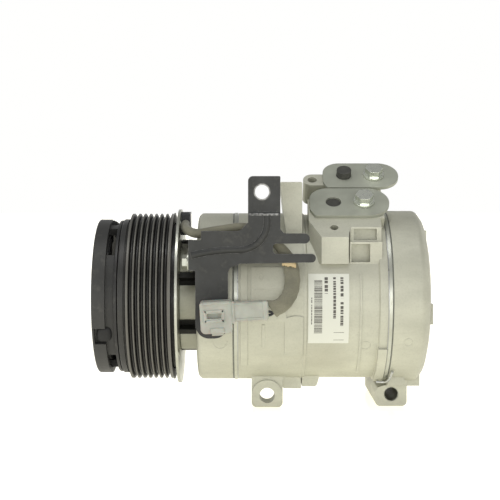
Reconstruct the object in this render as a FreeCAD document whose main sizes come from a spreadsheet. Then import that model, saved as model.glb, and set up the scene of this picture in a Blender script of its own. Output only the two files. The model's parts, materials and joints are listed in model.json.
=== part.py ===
"""Ten-cylinder swash-plate air-conditioning compressor with its electromagnetic clutch.

Frame: the origin is on the shaft axis at the middle of the belt track, +X runs along the
shaft from the clutch to the rear housing, +Z is up and the connector side faces -Y.
All lengths are in millimetres.
"""
import FreeCAD, Part
import math
import os
import re

import Sketcher
from FreeCAD import Placement, Rotation, Vector

SIZES = {
    # stations along the shaft
    "hub_front": -34.9, "cup_rear": -26.6, "armature_front": -21.3, "armature_rear": -19.45,
    "pulley_front": -18.9, "pulley_rear": 14.0, "coil_seat": 16.7, "nose_shoulder": 18.3,
    "housing_front": 29.7, "housing_rear": 52.0, "front_leaf_start": 52.6, "front_gasket_end": 53.0,
    "front_plate_end": 55.0, "block_front": 55.5, "block_joint": 95.6, "block_rear": 147.3,
    "rear_suction_end": 147.7, "rear_plate_end": 149.7, "rear_leaf_end": 150.1,
    "rear_housing_front": 150.6, "rear_end": 174.8,
    # clutch
    "cup_radius": 50.0, "cup_wall": 3.5, "cup_inner": 40.0, "leg_radius": 46.5, "armature_radius": 49.3,
    "star_front": -30.0, "star_thickness": 2.4, "star_radius": 36.0, "boss_radius": 12.0,
    "boss_front": -27.0, "boss_rear": -6.0, "spline_radius": 6.5, "rivet_circle": 37.5,
    "rib_pitch": 3.56, "rib_radius": 53.67, "groove_root": 51.0, "track_edge": 13.4,
    "rim_radius": 50.1, "rim_inner": 48.0, "pulley_web": -13.0,
    "bearing_bore": 17.5, "bearing_outer": 27.5, "bearing_half": 10.0, "ball_radius": 3.0,
    "ball_circle": 22.5, "ball_row": 5.0,
    "coil_inner": 32.0, "coil_outer": 46.5, "coil_wall": 2.0, "coil_front": -10.5, "coil_plate_radius": 56.5,
    # casing
    "journal_front": -13.0, "journal_step": 19.0, "seal_bore": 12.5, "nose_core": 31.0, "nose_rib": 36.0,
    "front_radius": 54.0, "rear_block_radius": 53.2, "rear_radius": 55.5, "chamber_radius": 50.2,
    "chamber_front": 85.4, "chamber_rear": 117.8, "bolt_circle": 46.2, "bolt_radius": 2.9,
    "centre_hole": 10.3, "cup_bore": 13.02, "cup_seat_front": 64.4, "cup_seat_rear": 138.9,
    "rear_edge": 169.3, "rear_slope": 173.0,
    # drive
    "bore_radius": 16.0, "bore_circle": 34.0, "swash_tilt": 16.17, "swash_centre": 101.6,
    "swash_half": 3.5, "swash_radius": 42.2, "swash_boss": 16.0, "swash_boss_half": 13.0,
    "piston_radius": 15.2, "piston_half": 35.4, "piston_slot": 8.8, "pocket_boss": 7.5, "pocket_face": 6.1,
    "shoe_radius": 8.5, "shoe_rim": 7.4, "shoe_gap": 0.03, "pocket_gap": 0.06, "bridge_offset": 9.4,
    "shaft_radius": 9.0, "seal_land": 8.0, "needle_circle": 10.5, "needle_radius": 1.45,
    # ports: a plane that leans towards the connector side
    "port_tilt": 37.0, "port_y": -50.0, "port_z": 40.5, "cap_thickness": 2.0,
    "port_hole": 4.8, "port_one_x": 115.4, "port_one_s": 32.6, "bolt_one_x": 134.7,
    "port_two_x": 123.7, "port_two_s": 60.9, "bolt_two_x": 143.0, "ear_s": 58.6,
    # lugs
    "lug_low": -70.0, "lug_hole_z": -62.2, "front_lug_x": 73.8, "rear_lug_x": 153.8,
    "front_lug_hole": 4.9, "rear_lug_hole": 4.6,
    # relief valve
    "relief_x": 158.0, "relief_z": -10.0, "relief_seat_y": 56.5, "relief_seat_radius": 6.6,
    # harness bracket
    "bracket_face": -57.0, "sheet_thickness": 2.0, "tab_set_back": 2.5, "connector_x": 32.8,
    "connector_z": 2.7,
    "flange_bolt_y": -43.0, "flange_bolt_z": 24.8, "plate_bolt_x": 41.0, "plate_bolt_z": -9.0,
}

BORES = 5
BORE_STEP = 360.0 / BORES
FIRST_BORE = 90.0
RIB_GROOVES = 7
BALLS_PER_ROW = 12
NEEDLES = 18
THRUST_ROLLERS = 16

ALONG_X = Rotation(Vector(0, 1, 0), 90)
ALONG_Y = Rotation(Vector(1, 0, 0), -90)
FACING_FRONT = Rotation(Vector(1, 0, 0), 90)
ACROSS_X = Rotation(Vector(1, 1, 1), 120)
PORT_PLANE = Rotation(Vector(1, 0, 0), SIZES["port_tilt"])
CONNECTOR_TILT = Rotation(Vector(0, 1, 0), -3)

doc = FreeCAD.newDocument("ac_compressor")
sheet = doc.addObject("Spreadsheet::Sheet", "dims")
for row, (alias, size) in enumerate(SIZES.items(), start=1):
    sheet.set(f"A{row}", alias)
    sheet.set(f"B{row}", str(size))
    sheet.setAlias(f"B{row}", alias)
doc.recompute()

nodes = []


# ---------------------------------------------------------------- helpers

def full(expression):
    """Give every sheet alias in an expression the sheet's name."""
    def named(word):
        return "dims." + word.group() if word.group() in SIZES else word.group()
    return re.sub(r"[a-z][a-z_]*", named, str(expression))


def value(expression):
    return float(sheet.evalExpression(full(expression)))


def place(piece, x="0", y="0", z="0", rotation=Rotation()):
    piece.Placement = Placement(Vector(0, 0, 0), rotation)
    for axis, expression in zip("xyz", (x, y, z)):
        piece.setExpression("Placement.Base." + axis, full(expression))
    return piece


def node(piece, label):
    """Register a finished sub-part: its label is its file's name."""
    piece.Label = label
    nodes.append(piece)
    return piece


def cylinder(name, radius, height, x="0", y="0", z="0", rotation=Rotation()):
    piece = doc.addObject("Part::Cylinder", name)
    piece.setExpression("Radius", full(radius))
    piece.setExpression("Height", full(height))
    return place(piece, x, y, z, rotation)


def rod(name, radius, start, end, y="0", z="0"):
    """A round bar along X."""
    return cylinder(name, radius, f"({end}) - ({start})", start, y, z, ALONG_X)


def box(name, x, y, z):
    """A block between the pairs of planes in x, y and z."""
    piece = doc.addObject("Part::Box", name)
    for prop, (low, high) in zip(("Length", "Width", "Height"), (x, y, z)):
        piece.setExpression(prop, full(f"({high}) - ({low})"))
    return place(piece, x[0], y[0], z[0])


def ball(name, radius, x, y, z):
    piece = doc.addObject("Part::Sphere", name)
    piece.setExpression("Radius", full(radius))
    return place(piece, x, y, z)


def fused(name, pieces):
    piece = doc.addObject("Part::MultiFuse", name)
    piece.Shapes = pieces
    piece.Refine = True
    return piece


def grouped(name, pieces):
    piece = doc.addObject("Part::Compound", name)
    piece.Links = pieces
    return piece


def cut(name, base, tools):
    piece = doc.addObject("Part::Cut", name)
    piece.Base = base
    piece.Tool = tools[0] if len(tools) == 1 else fused(name + "_tools", tools)
    piece.Refine = True
    return piece


def common(name, first, second):
    piece = doc.addObject("Part::Common", name)
    piece.Base = first
    piece.Tool = second
    return piece


def sector(name, outer, inner, start, end, top_angle, sweep):
    """Part of a tube about X, from top_angle downwards. Angles are seen from -Y, up is positive."""
    turn = Rotation(Vector(1, 0, 0), -90 - top_angle) * ALONG_X
    halves = []
    for part, radius in (("outside", outer), ("inside", inner)):
        wedge = cylinder(f"{name}_{part}", radius, f"({end}) - ({start})", start, "0", "0", turn)
        wedge.Angle = sweep if part == "outside" else 360
        halves.append(wedge)
    return cut(name, halves[0], [halves[1]])


def origin_plane(body, role):
    return next(item for item in body.Origin.OriginFeatures if item.Role == role)


def outline_sketch(body, name, outline, circles=()):
    """A closed outline of straight edges whose corners are bound to the sheet."""
    sketch = body.newObject("Sketcher::SketchObject", name)
    sketch.AttachmentSupport = (origin_plane(body, "XY_Plane"), "")
    sketch.MapMode = "FlatFace"
    corners = [Vector(value(u), value(v), 0) for u, v in outline]
    for corner, after in zip(corners, corners[1:] + corners[:1]):
        sketch.addGeometry(Part.LineSegment(corner, after), False)
    for edge, (u, v) in enumerate(outline):
        sketch.addConstraint(Sketcher.Constraint("Coincident", edge, 2, (edge + 1) % len(outline), 1))
        for kind, expression, size in (("DistanceX", u, corners[edge].x), ("DistanceY", v, corners[edge].y)):
            number = sketch.addConstraint(Sketcher.Constraint(kind, edge, 1, size))
            sketch.setExpression(f"Constraints[{number}]", full(expression))
    for u, v, radius in circles:
        centre = Vector(value(u), value(v), 0)
        circle = sketch.addGeometry(Part.Circle(centre, Vector(0, 0, 1), value(radius)), False)
        for kind, expression, size in (("DistanceX", u, centre.x), ("DistanceY", v, centre.y)):
            number = sketch.addConstraint(Sketcher.Constraint(kind, circle, 3, size))
            sketch.setExpression(f"Constraints[{number}]", full(expression))
        number = sketch.addConstraint(Sketcher.Constraint("Radius", circle, value(radius)))
        sketch.setExpression(f"Constraints[{number}]", full(radius))
    return sketch


def rounded(body, feature, chosen, radius):
    """Fillet the edges of the body's last feature that pass the test `chosen`."""
    doc.recompute()
    names = [f"Edge{i}" for i, edge in enumerate(feature.Shape.Edges, start=1) if chosen(edge)]
    if not names:
        raise RuntimeError(f"{body.Name}: no edge to round")
    fillet = body.newObject("PartDesign::Fillet", f"{body.Name}_round_{len(body.Group)}")
    fillet.Base = (feature, names)
    fillet.Radius = radius
    return fillet


def turned(name, outline, rounds=()):
    """A solid turned about X from an outline of (station, radius) corners."""
    body = doc.addObject("PartDesign::Body", name)
    sketch = outline_sketch(body, name + "_outline", outline)
    turn = body.newObject("PartDesign::Revolution", name + "_turn")
    turn.Profile = sketch
    turn.ReferenceAxis = (sketch, ["H_Axis"])
    turn.Angle = 360
    feature = turn
    for station, radius, size in rounds:
        def chosen(edge, station=value(station), radius=value(radius)):
            curve = edge.Curve
            return (isinstance(curve, Part.Circle) and abs(curve.Radius - radius) < 1e-3
                    and abs(curve.Center.x - station) < 1e-3)
        feature = rounded(body, feature, chosen, size)
    return body


def prism(name, outline, height, circles=(), rounds=(), x="0", y="0", z="0", rotation=Rotation()):
    """A plate of constant thickness; `rounds` lists (u, v, radius) of its rounded corners."""
    body = doc.addObject("PartDesign::Body", name)
    sketch = outline_sketch(body, name + "_outline", outline, circles)
    pad = body.newObject("PartDesign::Pad", name + "_pad")
    pad.Profile = sketch
    pad.setExpression("Length", full(height))
    feature = pad
    for u, v, size in rounds:
        def chosen(edge, u=value(u), v=value(v)):
            first, last = edge.Vertexes[0].Point, edge.Vertexes[-1].Point
            return (isinstance(edge.Curve, Part.Line) and abs(first.z - last.z) > 1e-3
                    and math.hypot(first.x - u, first.y - v) < 1e-3
                    and math.hypot(last.x - u, last.y - v) < 1e-3)
        feature = rounded(body, feature, chosen, size)
    return place(body, x, y, z, rotation)


def tube(name, outer, inner, start, end):
    return turned(name, [(start, inner), (start, outer), (end, outer), (end, inner)])


def polar(angle, radius):
    """The y and z of a point at an angle from +Y towards +Z."""
    return f"({radius}) * cos({angle} deg)", f"({radius}) * sin({angle} deg)"


def port_point(along, above):
    """The y and z of a point on the port plane: `along` its slope and `above` it."""
    tilt = "port_tilt * 1 deg"
    return (f"port_y + ({along}) * cos({tilt}) - ({above}) * sin({tilt})",
            f"port_z + ({along}) * sin({tilt}) + ({above}) * cos({tilt})")


def port_cylinder(name, radius, x, along, low, high):
    y, z = port_point(along, low)
    return cylinder(name, radius, f"({high}) - ({low})", x, y, z, PORT_PLANE)


def hexagon(name, across_flats, height, x="0", y="0", z="0", rotation=Rotation()):
    piece = doc.addObject("Part::Prism", name)
    piece.Polygon = 6
    piece.setExpression("Circumradius", full(f"({across_flats}) / (2 * cos(30 deg))"))
    piece.setExpression("Height", full(height))
    return place(piece, x, y, z, rotation)


def bore_angles(offset=0.0):
    return [FIRST_BORE + offset + BORE_STEP * i for i in range(BORES)]


def bolt_holes(name, radius, start, end):
    return [rod(f"{name}_{i}", radius, start, end, *polar(angle, "bolt_circle"))
            for i, angle in enumerate(bore_angles(BORE_STEP / 2))]


# ---------------------------------------------------------------- clutch

LEG_CENTRES = (-5.0, 115.0, 235.0)
LEG_SWEEP = 86.0
NOTCH_TOPS = (-19.0, 101.0, 221.0)
NOTCH_SWEEP = 13.0


def clutch_hub():
    """Splined boss with a three-armed plate, driven through rubber by the outer ring."""
    boss = turned("hub_boss", [("star_front", "10"), ("star_front", "star_radius"),
                               ("star_front + star_thickness", "star_radius"),
                               ("star_front + star_thickness", "boss_radius"), ("boss_rear", "boss_radius"),
                               ("boss_rear", "spline_radius + 0.05"), ("boss_front", "spline_radius + 0.05"),
                               ("boss_front", "10")])
    gaps = [sector(f"hub_gap_{i}", "star_radius + 1", "17", "star_front - 1",
                   "star_front + star_thickness + 1",
                   centre + 22, 44) for i, centre in enumerate(LEG_CENTRES)]
    node(cut("clutch_hub_solid", boss, gaps), "clutch_hub")
    dampers = [sector(f"damper_{i}", "cup_inner - 0.3", "star_radius", "star_front - 1.6",
                      "star_front + star_thickness + 1.6", centre + 60 + 30, 60)
               for i, centre in enumerate(LEG_CENTRES)]
    node(grouped("hub_damper_set", dampers), "hub_dampers")


def hub_cup():
    """Outer ring of the hub, with three legs that carry the armature plate."""
    ring = turned("cup_ring", [("hub_front", "cup_inner"), ("hub_front", "cup_radius"),
                               ("cup_rear", "cup_radius"),
                               ("cup_rear", "cup_radius - cup_wall"),
                               ("hub_front + 2", "cup_radius - cup_wall"),
                               ("hub_front + 2", "cup_inner + 1.6"), ("cup_rear", "cup_inner + 1.6"),
                               ("cup_rear", "cup_inner")], rounds=[("hub_front", "cup_radius", 1.2)])
    legs = [sector(f"cup_leg_{i}", "leg_radius", "leg_radius - 4.5", "hub_front + 1", "armature_front",
                   centre + LEG_SWEEP / 2, LEG_SWEEP) for i, centre in enumerate(LEG_CENTRES)]
    tabs = [sector(f"cup_tab_{i}", "leg_radius - 1", "33", "armature_front - 2.2", "armature_front",
                   centre + 12, 24) for i, centre in enumerate(LEG_CENTRES)]
    notches = [sector(f"cup_notch_{i}", "cup_radius + 1", "leg_radius + 0.3", "hub_front + 1.4",
                      "cup_rear + 1",
                      top, NOTCH_SWEEP) for i, top in enumerate(NOTCH_TOPS)]
    holes = [rod(f"cup_rivet_hole_{i}", "2.25", "armature_front - 3", "armature_front + 1",
                 *polar(180 - centre, "rivet_circle")) for i, centre in enumerate(LEG_CENTRES)]
    node(cut("hub_cup_solid", fused("hub_cup_body", [ring] + legs + tabs), notches + holes), "hub_cup")


def armature():
    """Friction plate pulled onto the pulley when the coil is energised, and its rivets."""
    plate = turned("armature_disc", [("armature_front", "23"), ("armature_front", "armature_radius"),
                                     ("armature_rear", "armature_radius"), ("armature_rear", "23")],
                   rounds=[("armature_front", "armature_radius", 0.5)])
    holes = [rod(f"armature_hole_{i}", "2.25", "armature_front - 1", "armature_rear + 1",
                 *polar(180 - centre, "rivet_circle")) for i, centre in enumerate(LEG_CENTRES)]
    slots = [sector(f"armature_slot_{i}", "32.5", "30.5", "armature_front - 1", "armature_rear + 1",
                    centre + 50, 100) for i, centre in enumerate(LEG_CENTRES)]
    node(cut("armature_solid", plate, holes + slots), "armature_plate")
    rivets = []
    for i, centre in enumerate(LEG_CENTRES):
        spot = polar(180 - centre, "rivet_circle")
        rivets.append(fused(f"rivet_{i}", [
            rod(f"rivet_shank_{i}", "2.2", "armature_front - 2.3", "armature_rear - 0.1", *spot),
            rod(f"rivet_head_{i}", "4", "armature_front - 3.7", "armature_front - 2.2", *spot)]))
    node(grouped("rivet_set", rivets), "armature_rivets")


def hub_fasteners():
    """Centre bolt and the shims that set the air gap."""
    bolt = fused("hub_bolt_body", [
        rod("hub_bolt_flange", "7.5", "boss_front - 1.4", "boss_front"),
        rod("hub_bolt_shank", "3", "boss_front - 0.5", "boss_front + 13.5"),
        hexagon("hub_bolt_hex", "10", "5.4", "boss_front - 6.4", rotation=ALONG_X)])
    node(bolt, "hub_bolt")
    node(tube("hub_shims_solid", "10.5", "spline_radius + 0.1", "boss_rear", "boss_rear + 0.6"), "hub_shims")


def pulley():
    """Rotor with the poly-V track outside and the coil cavity behind its friction face."""
    body = turned("pulley_solid", [
        ("pulley_front", "26"), ("pulley_front", "rim_radius"), ("-track_edge - 1.9", "rim_radius"),
        ("-track_edge - 1.9", "rim_radius - 1.2"), ("-track_edge - 1.1", "rim_radius - 1.2"),
        ("-track_edge", "rib_radius"), ("track_edge - 0.4", "rib_radius"),
        ("pulley_rear", "rib_radius + 0.6"),
        ("pulley_rear", "rim_inner"), ("pulley_web", "rim_inner"), ("pulley_web", "30.6"),
        ("track_edge - 1.4", "30.6"), ("track_edge - 1.4", "bearing_outer"),
        ("-bearing_half", "bearing_outer"),
        ("-bearing_half", "26")], rounds=[("pulley_front", "rim_radius", 0.8)])
    first = f"-rib_pitch * {(RIB_GROOVES - 1) / 2}"
    sketch = outline_sketch(body, "groove_outline", [
        (f"{first} - rib_pitch / 2 + 0.4", "rib_radius + 1"),
        (f"{first} - rib_pitch / 2 + 0.4", "rib_radius"),
        (f"{first} - 0.4", "groove_root"), (f"{first} + 0.4", "groove_root"),
        (f"{first} + rib_pitch / 2 - 0.4", "rib_radius"),
        (f"{first} + rib_pitch / 2 - 0.4", "rib_radius + 1")])
    groove = body.newObject("PartDesign::Groove", "first_groove")
    groove.Profile = sketch
    groove.ReferenceAxis = (sketch, ["H_Axis"])
    groove.Angle = 360
    doc.recompute()
    ribs = body.newObject("PartDesign::LinearPattern", "belt_grooves")
    ribs.Originals = [groove]
    ribs.Direction = (origin_plane(body, "X_Axis"), [""])
    ribs.setExpression("Length", full(f"rib_pitch * {RIB_GROOVES - 1}"))
    ribs.Occurrences = RIB_GROOVES
    body.Tip = ribs
    windows = [sector(f"flux_window_{i}", outer, inner, "pulley_front - 1", "pulley_web + 1", top, 50)
               for i, (outer, inner, top) in enumerate(
                   [("43.5", "41.5", 25 + 60 * k) for k in range(6)]
                   + [("36.5", "34.5", 55 + 60 * k) for k in range(6)])]
    node(cut("pulley_rotor", body, windows), "pulley")


def pulley_bearing():
    """Double-row ball bearing between the pulley and the nose journal."""
    rows = ("-ball_row", "ball_row")

    def races(name, outer, inner):
        grooves = []
        for i, station in enumerate(rows):
            groove = doc.addObject("Part::Torus", f"{name}_groove_{i}")
            groove.setExpression("Radius1", full("ball_circle"))
            groove.setExpression("Radius2", full("ball_radius + 0.06"))
            grooves.append(place(groove, station, rotation=ALONG_X))
        return cut(name, tube(name + "_ring", outer, inner, "-bearing_half", "bearing_half"), grooves)

    node(races("bearing_outer_race", "bearing_outer - 0.02", "24.5"), "pulley_bearing_outer")
    node(races("bearing_inner_race", "20.5", "bearing_bore + 0.02"), "pulley_bearing_inner")
    balls, pockets = [], []
    for i, station in enumerate(rows):
        for k in range(BALLS_PER_ROW):
            spot = polar(k * 360.0 / BALLS_PER_ROW, "ball_circle")
            balls.append(ball(f"ball_{i}_{k}", "ball_radius", station, *spot))
            pockets.append(ball(f"pocket_{i}_{k}", "ball_radius + 0.1", station, *spot))
    cage = cut("ball_cage", tube("ball_cage_ring", "23.2", "21.8", "-bearing_half + 1", "bearing_half - 1"),
               pockets)
    node(grouped("ball_set", balls + [cage]), "pulley_bearing_balls")


def snap_ring(name, outer, inner, start, end):
    """An open ring with a gap at its top."""
    gap = box(name + "_gap", (f"({start}) - 1", f"({end}) + 1"), ("-2", "2"), ("0", "60"))
    return cut(name, tube(name + "_ring", outer, inner, start, end), [gap])


def coil():
    """Stationary field coil: steel case, winding, mounting plate and lead block."""
    case = turned("coil_case_solid", [
        ("coil_front", "coil_inner"), ("coil_front", "coil_inner + coil_wall"),
        ("coil_seat - coil_wall", "coil_inner + coil_wall"),
        ("coil_seat - coil_wall", "coil_outer - coil_wall"),
        ("coil_front", "coil_outer - coil_wall"), ("coil_front", "coil_outer"), ("coil_seat", "coil_outer"),
        ("coil_seat", "coil_inner")])
    node(case, "coil_case")
    node(tube("coil_winding_solid", "coil_outer - coil_wall - 0.1", "coil_inner + coil_wall + 0.1",
              "coil_front + 0.8", "coil_seat - coil_wall - 0.1"), "coil_winding")
    node(tube("coil_plate_solid", "coil_plate_radius", "journal_step + 0.05", "coil_seat", "nose_shoulder"),
         "coil_plate")
    block = prism("coil_lead_block_solid", [("-9", "40"), ("9", "40"), ("9", "54.8"), ("-9", "54.8")], "5.8",
                  rounds=[("-9", "54.8", 2.5), ("9", "54.8", 2.5), ("-9", "40", 1.5), ("9", "40", 1.5)],
                  x="nose_shoulder", rotation=ACROSS_X)
    node(block, "coil_lead_block")
    node(grouped("nose_ring_set", [
        snap_ring("bearing_ring", "20.2", "16.6", "-bearing_half - 1.6", "-bearing_half - 0.1"),
        snap_ring("coil_ring", "22", "journal_step - 0.8", "coil_seat - 1.6", "coil_seat"),
        snap_ring("seal_ring", "13.2", "10.6", "19.5", "21")]), "nose_snap_rings")


# ---------------------------------------------------------------- casing

NOSE_RIBS = 12


def front_housing():
    """Nose journal, seal bore, refrigerant chambers and the counterbored bolt seats."""
    shell = turned("front_shell", [
        ("journal_front", "seal_bore"), ("journal_front", "bearing_bore"), ("bearing_half", "bearing_bore"),
        ("bearing_half", "journal_step"), ("nose_shoulder", "journal_step"), ("nose_shoulder", "nose_core"),
        ("housing_front", "nose_core"), ("housing_front", "front_radius"), ("housing_rear", "front_radius"),
        ("housing_rear", "front_radius - 4.4"), ("housing_front + 10", "front_radius - 4.4"),
        ("housing_front + 10", "33"), ("housing_rear", "33"), ("housing_rear", "29.5"), ("33", "29.5"),
        ("33", "10"), ("30", "10"), ("30", "seal_bore")],
        rounds=[("housing_front", "front_radius", 3.5)])
    ribs = []
    for i in range(NOSE_RIBS):
        rib = box(f"nose_rib_{i}", ("nose_shoulder", "housing_front + 0.5"), ("0", "nose_rib"),
                  ("-1.8", "1.8"))
        angle = 4.0 + 360.0 / NOSE_RIBS * i
        rib.setExpression("Placement.Base.y", full(f"1.8 * sin({angle} deg)"))
        rib.setExpression("Placement.Base.z", full(f"-1.8 * cos({angle} deg)"))
        rib.Placement = Placement(rib.Placement.Base, Rotation(Vector(1, 0, 0), angle))
        ribs.append(rib)
    ribs_core = rod("nose_rib_bore", "nose_core - 3", "nose_shoulder - 1", "housing_front + 1")
    pad = cylinder("bracket_pad", "7", "6.8", "plate_bolt_x", "-48.2", "plate_bolt_z", FACING_FRONT)
    holes = bolt_holes("head_recess", "5.4", "housing_front - 1", "housing_front + 5.8")
    holes += bolt_holes("front_bolt_hole", "bolt_radius + 0.3", "housing_front", "housing_front + 12")
    grooves = [tube("bearing_ring_groove", "18", "16.55", "-bearing_half - 1.65", "-bearing_half - 0.05"),
               tube("coil_ring_groove", "20", "journal_step - 0.85", "coil_seat - 1.65", "coil_seat + 0.02"),
               tube("seal_ring_groove", "13.3", "12", "19.45", "21.05")]
    threads = [rod("bracket_thread_one", "2.55", "housing_front - 1", "housing_front + 9", "flange_bolt_y",
                   "flange_bolt_z"),
               cylinder("bracket_thread_two", "2.55", "7", "plate_bolt_x", "-56", "plate_bolt_z", ALONG_Y)]
    body = fused("front_housing_body", [shell, cut("nose_ribs", fused("rib_set", ribs), [ribs_core]), pad])
    node(cut("front_housing_solid", body, holes + grooves + threads), "front_housing")


def petal_disc(name, start, end):
    """Five spring-steel leaves on a common ring."""
    leaves = []
    for i, angle in enumerate(bore_angles()):
        leaf = box(f"{name}_leaf_{i}", (start, end), ("18", "41"), ("-4.5", "4.5"))
        turn = Rotation(Vector(1, 0, 0), angle)
        corner = turn.multVec(Vector(0, 18, -4.5))
        leaves.append(place(leaf, start, str(corner.y), str(corner.z), turn))
    return fused(name, [tube(name + "_ring", "22", "12", start, end)] + leaves)


def plate_disc(name, start, end, outer, centre):
    """A flat disc with bolt holes, and one discharge and one suction hole over each bore."""
    holes = bolt_holes(name + "_bolt_hole", "bolt_radius + 0.3", f"({start}) - 1", f"({end}) + 1")
    for i, angle in enumerate(bore_angles()):
        for kind, circle, radius in (("discharge", "38", "3"), ("suction", "26.5", "3.4")):
            holes.append(rod(f"{name}_{kind}_{i}", radius, f"({start}) - 1", f"({end}) + 1",
                             *polar(angle, circle)))
    return cut(name, tube(name + "_disc", outer, centre, start, end), holes)


def suction_disc(name, start, end, outer, centre):
    """A thin disc whose suction leaves are freed by two slits and a tip."""
    slits = bolt_holes(name + "_bolt_hole", "bolt_radius + 0.3", f"({start}) - 1", f"({end}) + 1")
    for i, angle in enumerate(bore_angles()):
        slits.append(rod(f"{name}_discharge_{i}", "3.2", f"({start}) - 1", f"({end}) + 1",
                         *polar(angle, "38")))
        for side in (-1, 1):
            turn = Rotation(Vector(1, 0, 0), angle)
            corner = turn.multVec(Vector(0, 21, side * 5.0 - 0.4))
            slit = box(f"{name}_slit_{i}_{side + 1}", (f"({start}) - 1", f"({end}) + 1"), ("0", "12"),
                       ("0", "0.8"))
            slits.append(place(slit, f"({start}) - 1", str(corner.y), str(corner.z), turn))
    return cut(name, tube(name + "_disc", outer, centre, start, end), slits)


def ring_gasket(name, start, end, outer, inner):
    holes = bolt_holes(name + "_bolt_hole", "bolt_radius + 0.3", f"({start}) - 1", f"({end}) + 1")
    return cut(name, tube(name + "_ring", outer, inner, start, end), holes)


def valve_stacks():
    """Gasket, discharge leaves, port plate and suction leaves at each end of the cylinders."""
    node(ring_gasket("front_gasket_solid", "housing_rear", "front_gasket_end", "front_radius - 0.1", "42.5"),
         "front_gasket")
    node(petal_disc("front_discharge_solid", "front_leaf_start", "front_gasket_end"),
         "front_discharge_reeds")
    node(plate_disc("front_plate_solid", "front_gasket_end", "front_plate_end", "front_radius + 0.3", "11"),
         "front_valve_plate")
    node(suction_disc("front_suction_solid", "front_plate_end", "block_front", "front_radius - 0.2", "11"),
         "front_suction_reeds")
    node(suction_disc("rear_suction_solid", "block_rear", "rear_suction_end", "rear_radius - 0.3", "4"),
         "rear_suction_reeds")
    node(plate_disc("rear_plate_solid", "rear_suction_end", "rear_plate_end", "rear_radius + 0.2", "4"),
         "rear_valve_plate")
    node(petal_disc("rear_discharge_solid", "rear_plate_end", "rear_leaf_end"), "rear_discharge_reeds")
    node(ring_gasket("rear_gasket_solid", "rear_plate_end", "rear_housing_front", "rear_radius - 0.2",
                     "42.5"),
         "rear_gasket")


def bores(name, start, end):
    return [rod(f"{name}_{i}", "bore_radius", start, end, *polar(angle, "bore_circle"))
            for i, angle in enumerate(bore_angles())]


def front_cylinder_block():
    """Five bores, half of the swash chamber, the lower front lug and the tall upper leg."""
    shell = turned("front_block_shell", [
        ("block_front", "centre_hole"), ("block_front", "front_radius"), ("block_joint", "front_radius"),
        ("block_joint", "chamber_radius"), ("chamber_front", "chamber_radius"),
        ("chamber_front", "cup_bore"),
        ("cup_seat_front", "cup_bore"), ("cup_seat_front", "centre_hole")])
    lug = prism("front_lug", [
        ("front_lug_x - 9.9", "lug_low"), ("front_lug_x + 9.9", "lug_low"), ("front_lug_x + 9.9", "-50"),
        ("front_lug_x + 20", "-48"), ("front_lug_x + 20", "-40"), ("front_lug_x - 12", "-40"),
        ("front_lug_x - 9.9", "-52")], "14",
        rounds=[("front_lug_x - 9.9", "lug_low", 3), ("front_lug_x + 9.9", "lug_low", 3),
                ("front_lug_x + 9.9", "-50", 4)],
        y="-6", rotation=FACING_FRONT)
    face = cylinder("front_lug_face", "9.9", "1.2", "front_lug_x", "-20", "lug_hole_z", FACING_FRONT)
    face_trim = box("front_lug_face_trim", ("front_lug_x - 9.9", "front_lug_x + 9.9"), ("-22", "-19"),
                    ("lug_low + 0.5", "-50"))
    leg = prism("upper_leg", [
        ("81.5", "74.2"), ("95.3", "74.2"), ("95.3", "30"), ("85.5", "30"), ("85", "44")], "30",
        rounds=[("95.3", "74.2", 1.0), ("81.5", "74.2", 1.0)], y="-6", rotation=FACING_FRONT)
    step = prism("front_bottom_step", [
        ("84", "-58.3"), ("block_joint", "-58.3"), ("block_joint", "-40"), ("80", "-40"), ("82", "-54")],
        "34",
        rounds=[("84", "-58.3", 2)], y="17", rotation=FACING_FRONT)
    band = sector("front_block_band", "front_radius + 0.7", "front_radius - 2", "block_front + 1.4",
                  "block_front + 5.6", 28, 76)
    panel = sector("front_block_panel", "front_radius + 0.7", "front_radius - 2", "block_front + 8", "85",
                   24, 36)
    emboss = common("front_block_emboss", tube("emboss_skin", "front_radius + 0.6", "front_radius - 2",
                                               "84", "block_joint - 0.1"),
                    cylinder("emboss_round", "13.5", "60", "91", "-10", "-21", FACING_FRONT))
    body = fused("front_block_body", [shell, lug, common("front_lug_pad", face, face_trim), leg, step, band,
                                      panel, emboss])
    inside = bores("front_bore", "block_front - 1", "chamber_front + 1")
    inside += bolt_holes("front_block_bolt_hole", "bolt_radius + 0.3", "block_front - 1", "block_joint + 1")
    inside += [rod("front_chamber", "chamber_radius", "chamber_front", "block_joint + 1"),
               tube("o_ring_groove", "52.9", "51.2", "block_joint - 1.6", "block_joint + 1"),
               cylinder("front_lug_bore", "front_lug_hole", "20", "front_lug_x", "-24", "lug_hole_z",
                        ALONG_Y)]
    centre = rod("front_centre_keep", "cup_bore", "cup_seat_front", "chamber_front")
    solid = cut("front_block_cut", body, inside)
    node(cut("front_block_solid", solid, [centre, rod("front_centre_pass", "centre_hole", "block_front - 1",
                                                      "cup_seat_front + 1.6")]),
         "front_cylinder_block")
    ring = doc.addObject("Part::Torus", "block_o_ring_solid")
    ring.Radius1 = 52.05
    ring.Radius2 = 0.78
    node(place(ring, "block_joint - 0.8", rotation=ALONG_X), "block_o_ring")


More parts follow.
